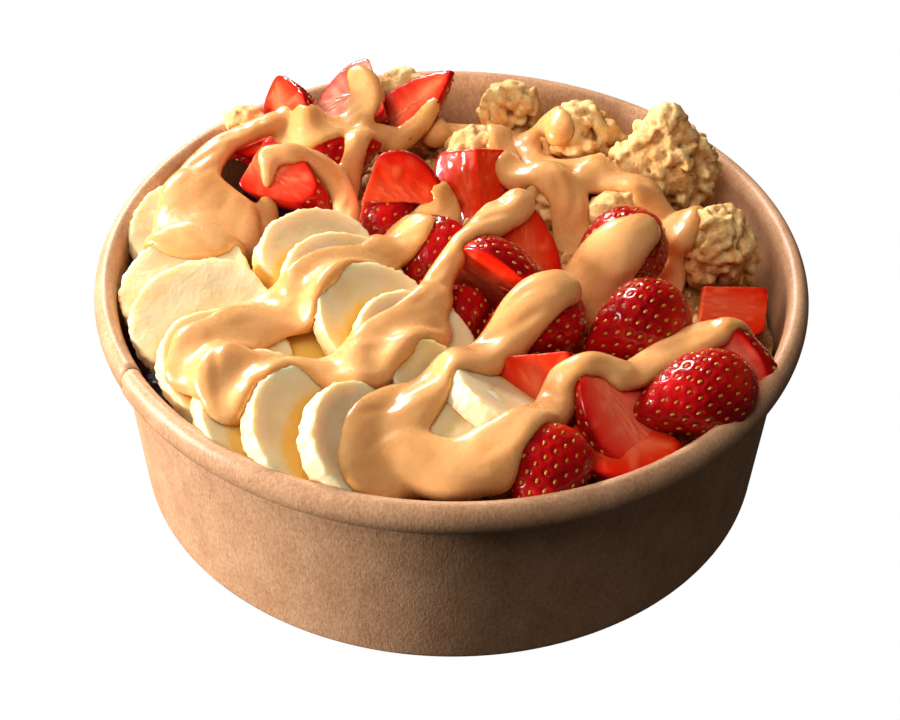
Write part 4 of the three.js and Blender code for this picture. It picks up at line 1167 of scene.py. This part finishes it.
def bridged(block, reach):
    """The distances to the same toppings with the gaps between them filled, up to twice a reach wide."""
    grid = openvdb.FloatGrid(float(block.values.max()))
    grid.copyFromArray(np.ascontiguousarray(block.values, np.float32))
    points, triangles, quads = grid.convertToPolygons(isovalue=reach, adaptivity=0.0)
    grown = openvdb.FloatGrid.createLevelSetFromPolygons(
        points.astype(np.float32),
        triangles=triangles.astype(np.uint32),
        quads=quads.astype(np.uint32),
        halfWidth=BAND,
    )
    values = np.empty_like(block.values)
    grown.copyToArray(values, ijk=(0, 0, 0))
    return np.minimum(block.values, values * SAUCE_STEP + reach)


def top_of(block, values):
    """The height of the highest surface over each plan point."""
    inside = values <= 0
    any_inside = inside.any(axis=2)
    last = inside.shape[2] - 1 - np.argmax(inside[:, :, ::-1], axis=2)
    last = np.clip(last, 0, inside.shape[2] - 2)
    rows, columns = np.indices(last.shape)
    below, above = values[rows, columns, last], values[rows, columns, last + 1]
    part = np.clip(-below / np.maximum(above - below, 1e-6), 0, 1)
    return np.where(any_inside, block.low[2] + SAUCE_STEP * (last + part), SAUCE_BELOW)


def height_at(tops, block, x, y):
    """The height of a map of tops over plan points, read between its points."""
    u, v = (x - block.low[0]) / SAUCE_STEP, (y - block.low[1]) / SAUCE_STEP
    i, j = np.floor(u).astype(int), np.floor(v).astype(int)
    a, b = u - i, v - j
    return (
        tops[i, j] * (1 - a) * (1 - b) + tops[i + 1, j] * a * (1 - b)
        + tops[i, j + 1] * (1 - a) * b + tops[i + 1, j + 1] * a * b
    )


def smooth_line(stations, spacing=0.8):
    """Points along a smooth curve through stations of any number of columns."""
    stations = np.array(stations, float)
    ends = [2 * stations[0] - stations[1], *stations, 2 * stations[-1] - stations[-2]]
    line = []
    for a, b, c, d in zip(ends, ends[1:], ends[2:], ends[3:]):
        count = max(2, int(np.linalg.norm((c - b)[:2]) / spacing))
        squared, cubed = 2 * a - 5 * b + 4 * c - d, 3 * b - a - 3 * c + d
        for t in np.linspace(0, 1, count, endpoint=False):
            line.append(0.5 * (2 * b + (c - a) * t + squared * t**2 + cubed * t**3))
    return np.array([*line, stations[-1]])


def spanned(run, z, taut):
    """A line's heights, raised towards the taut string that would span its dips."""
    string = z.copy()
    for i in range(len(z)):
        for j in range(i + 2, len(z)):
            between = slice(i + 1, j)
            chord = z[i] + (z[j] - z[i]) * (run[between] - run[i]) / max(1e-6, run[j] - run[i])
            string[between] = np.maximum(string[between], chord)
    return z + taut * (string - z)


def evened(heights):
    """A line's heights with its small steps smoothed away."""
    for _ in range(3):
        heights = np.convolve(np.pad(heights, 2, mode="edge"), EVENING, "valid")
    return heights


def stroke_onto(block, coat, tops, ease, stations, thickness, taut, seed):
    """Lays one stroke of sauce on the toppings: thickest along its line and round at its edges."""
    line = smooth_line(stations)
    z = evened(height_at(tops, block, line[:, 0], line[:, 1]))
    run_plan = np.append(0, np.cumsum(np.linalg.norm(np.diff(line[:, :2], axis=0), axis=1)))
    raised = evened(spanned(run_plan, z, taut))
    centre = np.stack([line[:, 0], line[:, 1], raised], -1)
    lifts = raised - z
    half = line[:, 2] / 2
    margin = half.max() + 2
    where, points = block.window(centre.min(0) - margin, centre.max(0) + margin)
    best = np.full(points.shape[:3], 1e9)
    side, along, lift = np.zeros_like(best), np.zeros_like(best), np.zeros_like(best)
    width = np.ones_like(best)
    rise = np.zeros_like(best)
    run = 0.0
    for a, b, w0, w1, l0, l1 in zip(centre, centre[1:], half, half[1:], lifts, lifts[1:]):
        step = b - a
        length = max(1e-6, np.linalg.norm(step))
        local = points - a
        t = np.clip(local @ step / length**2, 0, 1)
        offset = local - t[..., None] * step
        away = np.einsum("...i,...i", offset, offset)
        flat = step[:2] / max(1e-6, np.linalg.norm(step[:2]))
        w = w0 + (w1 - w0) * t
        score = away / w**2
        better = score < best
        best = np.where(better, score, best)
        side = np.where(better, offset[..., 0] * -flat[1] + offset[..., 1] * flat[0], side)
        along = np.where(better, run + t * length, along)
        lift = np.where(better, l0 + (l1 - l0) * t, lift)
        rise = np.where(better, offset[..., 2], rise)
        width = np.where(better, w, width)
        run += length
    hung = np.clip(lift / FULLY_HUNG, 0, 1)
    lying = ease[where]
    height = lying * (1 - hung) + rise * hung
    above = np.maximum(height, 0)
    across = np.sqrt(np.maximum(best * width**2 - above**2 * (1 - hung) - rise**2 * hung, 0))
    share = across / width
    fold_at = side / width * FOLDS_ACROSS + along / FOLD_LENGTH + FOLD_WANDER * unevenness(points, 8, seed)
    on_fold = np.exp(-((np.sin(fold_at * math.pi) / CREASE_WIDTH) ** 2))
    creased = on_fold * np.clip(unevenness(points, 10, seed + 7) + 0.6, 0, 1)
    thinned = CREASE_DEPTH * creased * np.clip(1.3 - share, 0, 1)
    thick = thickness * (1 - thinned + 0.1 * unevenness(points, 6, seed + 20))
    under = np.where(height < 0, -height / (SAG + (0.8 * thickness - SAG) * hung), 0)
    beneath = np.where(hung > 0.3, under, 0)
    shape = (np.sqrt(share**EDGE_ROUND + (above / thick) ** 2 + beneath**2) - 1) * thick
    edge = (share - 1) * width
    distance = np.where(height > 0, shape, np.maximum(edge, shape))
    coat[where] = melted(coat[where], distance.astype(np.float32), FOLD_WIDTH)


def sauce_finish():
    butter = Finish(
        "peanut_butter",
        Specular_IOR_Level=0.4, Coat_Weight=0.45, Coat_Roughness=0.05,
        Subsurface_Weight=0.5, Subsurface_Scale=2.8 * MM,
    )
    butter.shader.inputs["Subsurface Radius"].default_value = (1.0, 0.5, 0.18)
    swirl = butter.grain(11, 2)
    fine = butter.grain(0.9, 3)
    base = butter.tones(swirl, (0.3, coloured(222, 158, 94)), (0.7, coloured(238, 180, 118)))
    thin = butter.tones(butter.kept("depth"), (0.0, 0.7), (0.4, 0.0))
    tinted = butter.laid(thin, base, coloured(216, 146, 64))
    butter.join(tinted, butter.shader.inputs["Base Color"])
    butter.join(butter.tones(fine, (0.3, 0.24), (0.7, 0.36)), butter.shader.inputs["Roughness"])
    butter.raised(butter.grain(2.4, 2), 0.12)
    bubble = butter.tones(butter.grain(1.5, 1), (0.2, 0.0), (0.26, 1.0))
    butter.raised(bubble, 0.05)
    return butter.material


toppings = over_toppings(topping_pieces)
closed = bridged(toppings, BRIDGED)
# Each topping keeps how deep its corners lie in the gaps between the toppings, where the finishes paint
# shade.
filled_in = closed - toppings.values
for piece in topping_pieces:
    keep(piece, "nook", np.clip(-filled_in[toppings.cells(corners_of(piece))] / 1.4 - 0.15, 0, 1))
ease = blurred(closed, 1.6)
tops = top_of(toppings, ease)
peanut_butter = sauce_finish()
x, y, z = np.moveaxis(toppings.everywhere(), -1, 0)
past_wall = np.hypot(x, y) - inside_radius(z) + SAUCE_CLEAR
for pour, (name, strokes) in enumerate(POURS.items()):
    coat = np.full(toppings.values.shape, 5, np.float32)
    for k, (stations, thickness, taut) in enumerate(strokes):
        stroke_onto(toppings, coat, tops, ease, stations, thickness, taut, 10 * pour + k)
    coat = np.maximum.reduce([coat, -(toppings.values + SOAK), -(ease + SAG)])
    coat = np.maximum(coat, past_wall)
    block = Block(toppings.low, toppings.low + (toppings.size - 1) * SAUCE_STEP, SAUCE_STEP)
    block.values = blurred(coat, 0.8)
    sauce_points, sauce_faces = block.skin()
    piece = placed_mesh("poured_" + name, sauce_points, sauce_faces)
    keep(piece, "depth", np.clip(toppings.values[toppings.cells(sauce_points)] / 4, 0, 1))
    served(piece, peanut_butter, "nut_butter", name)
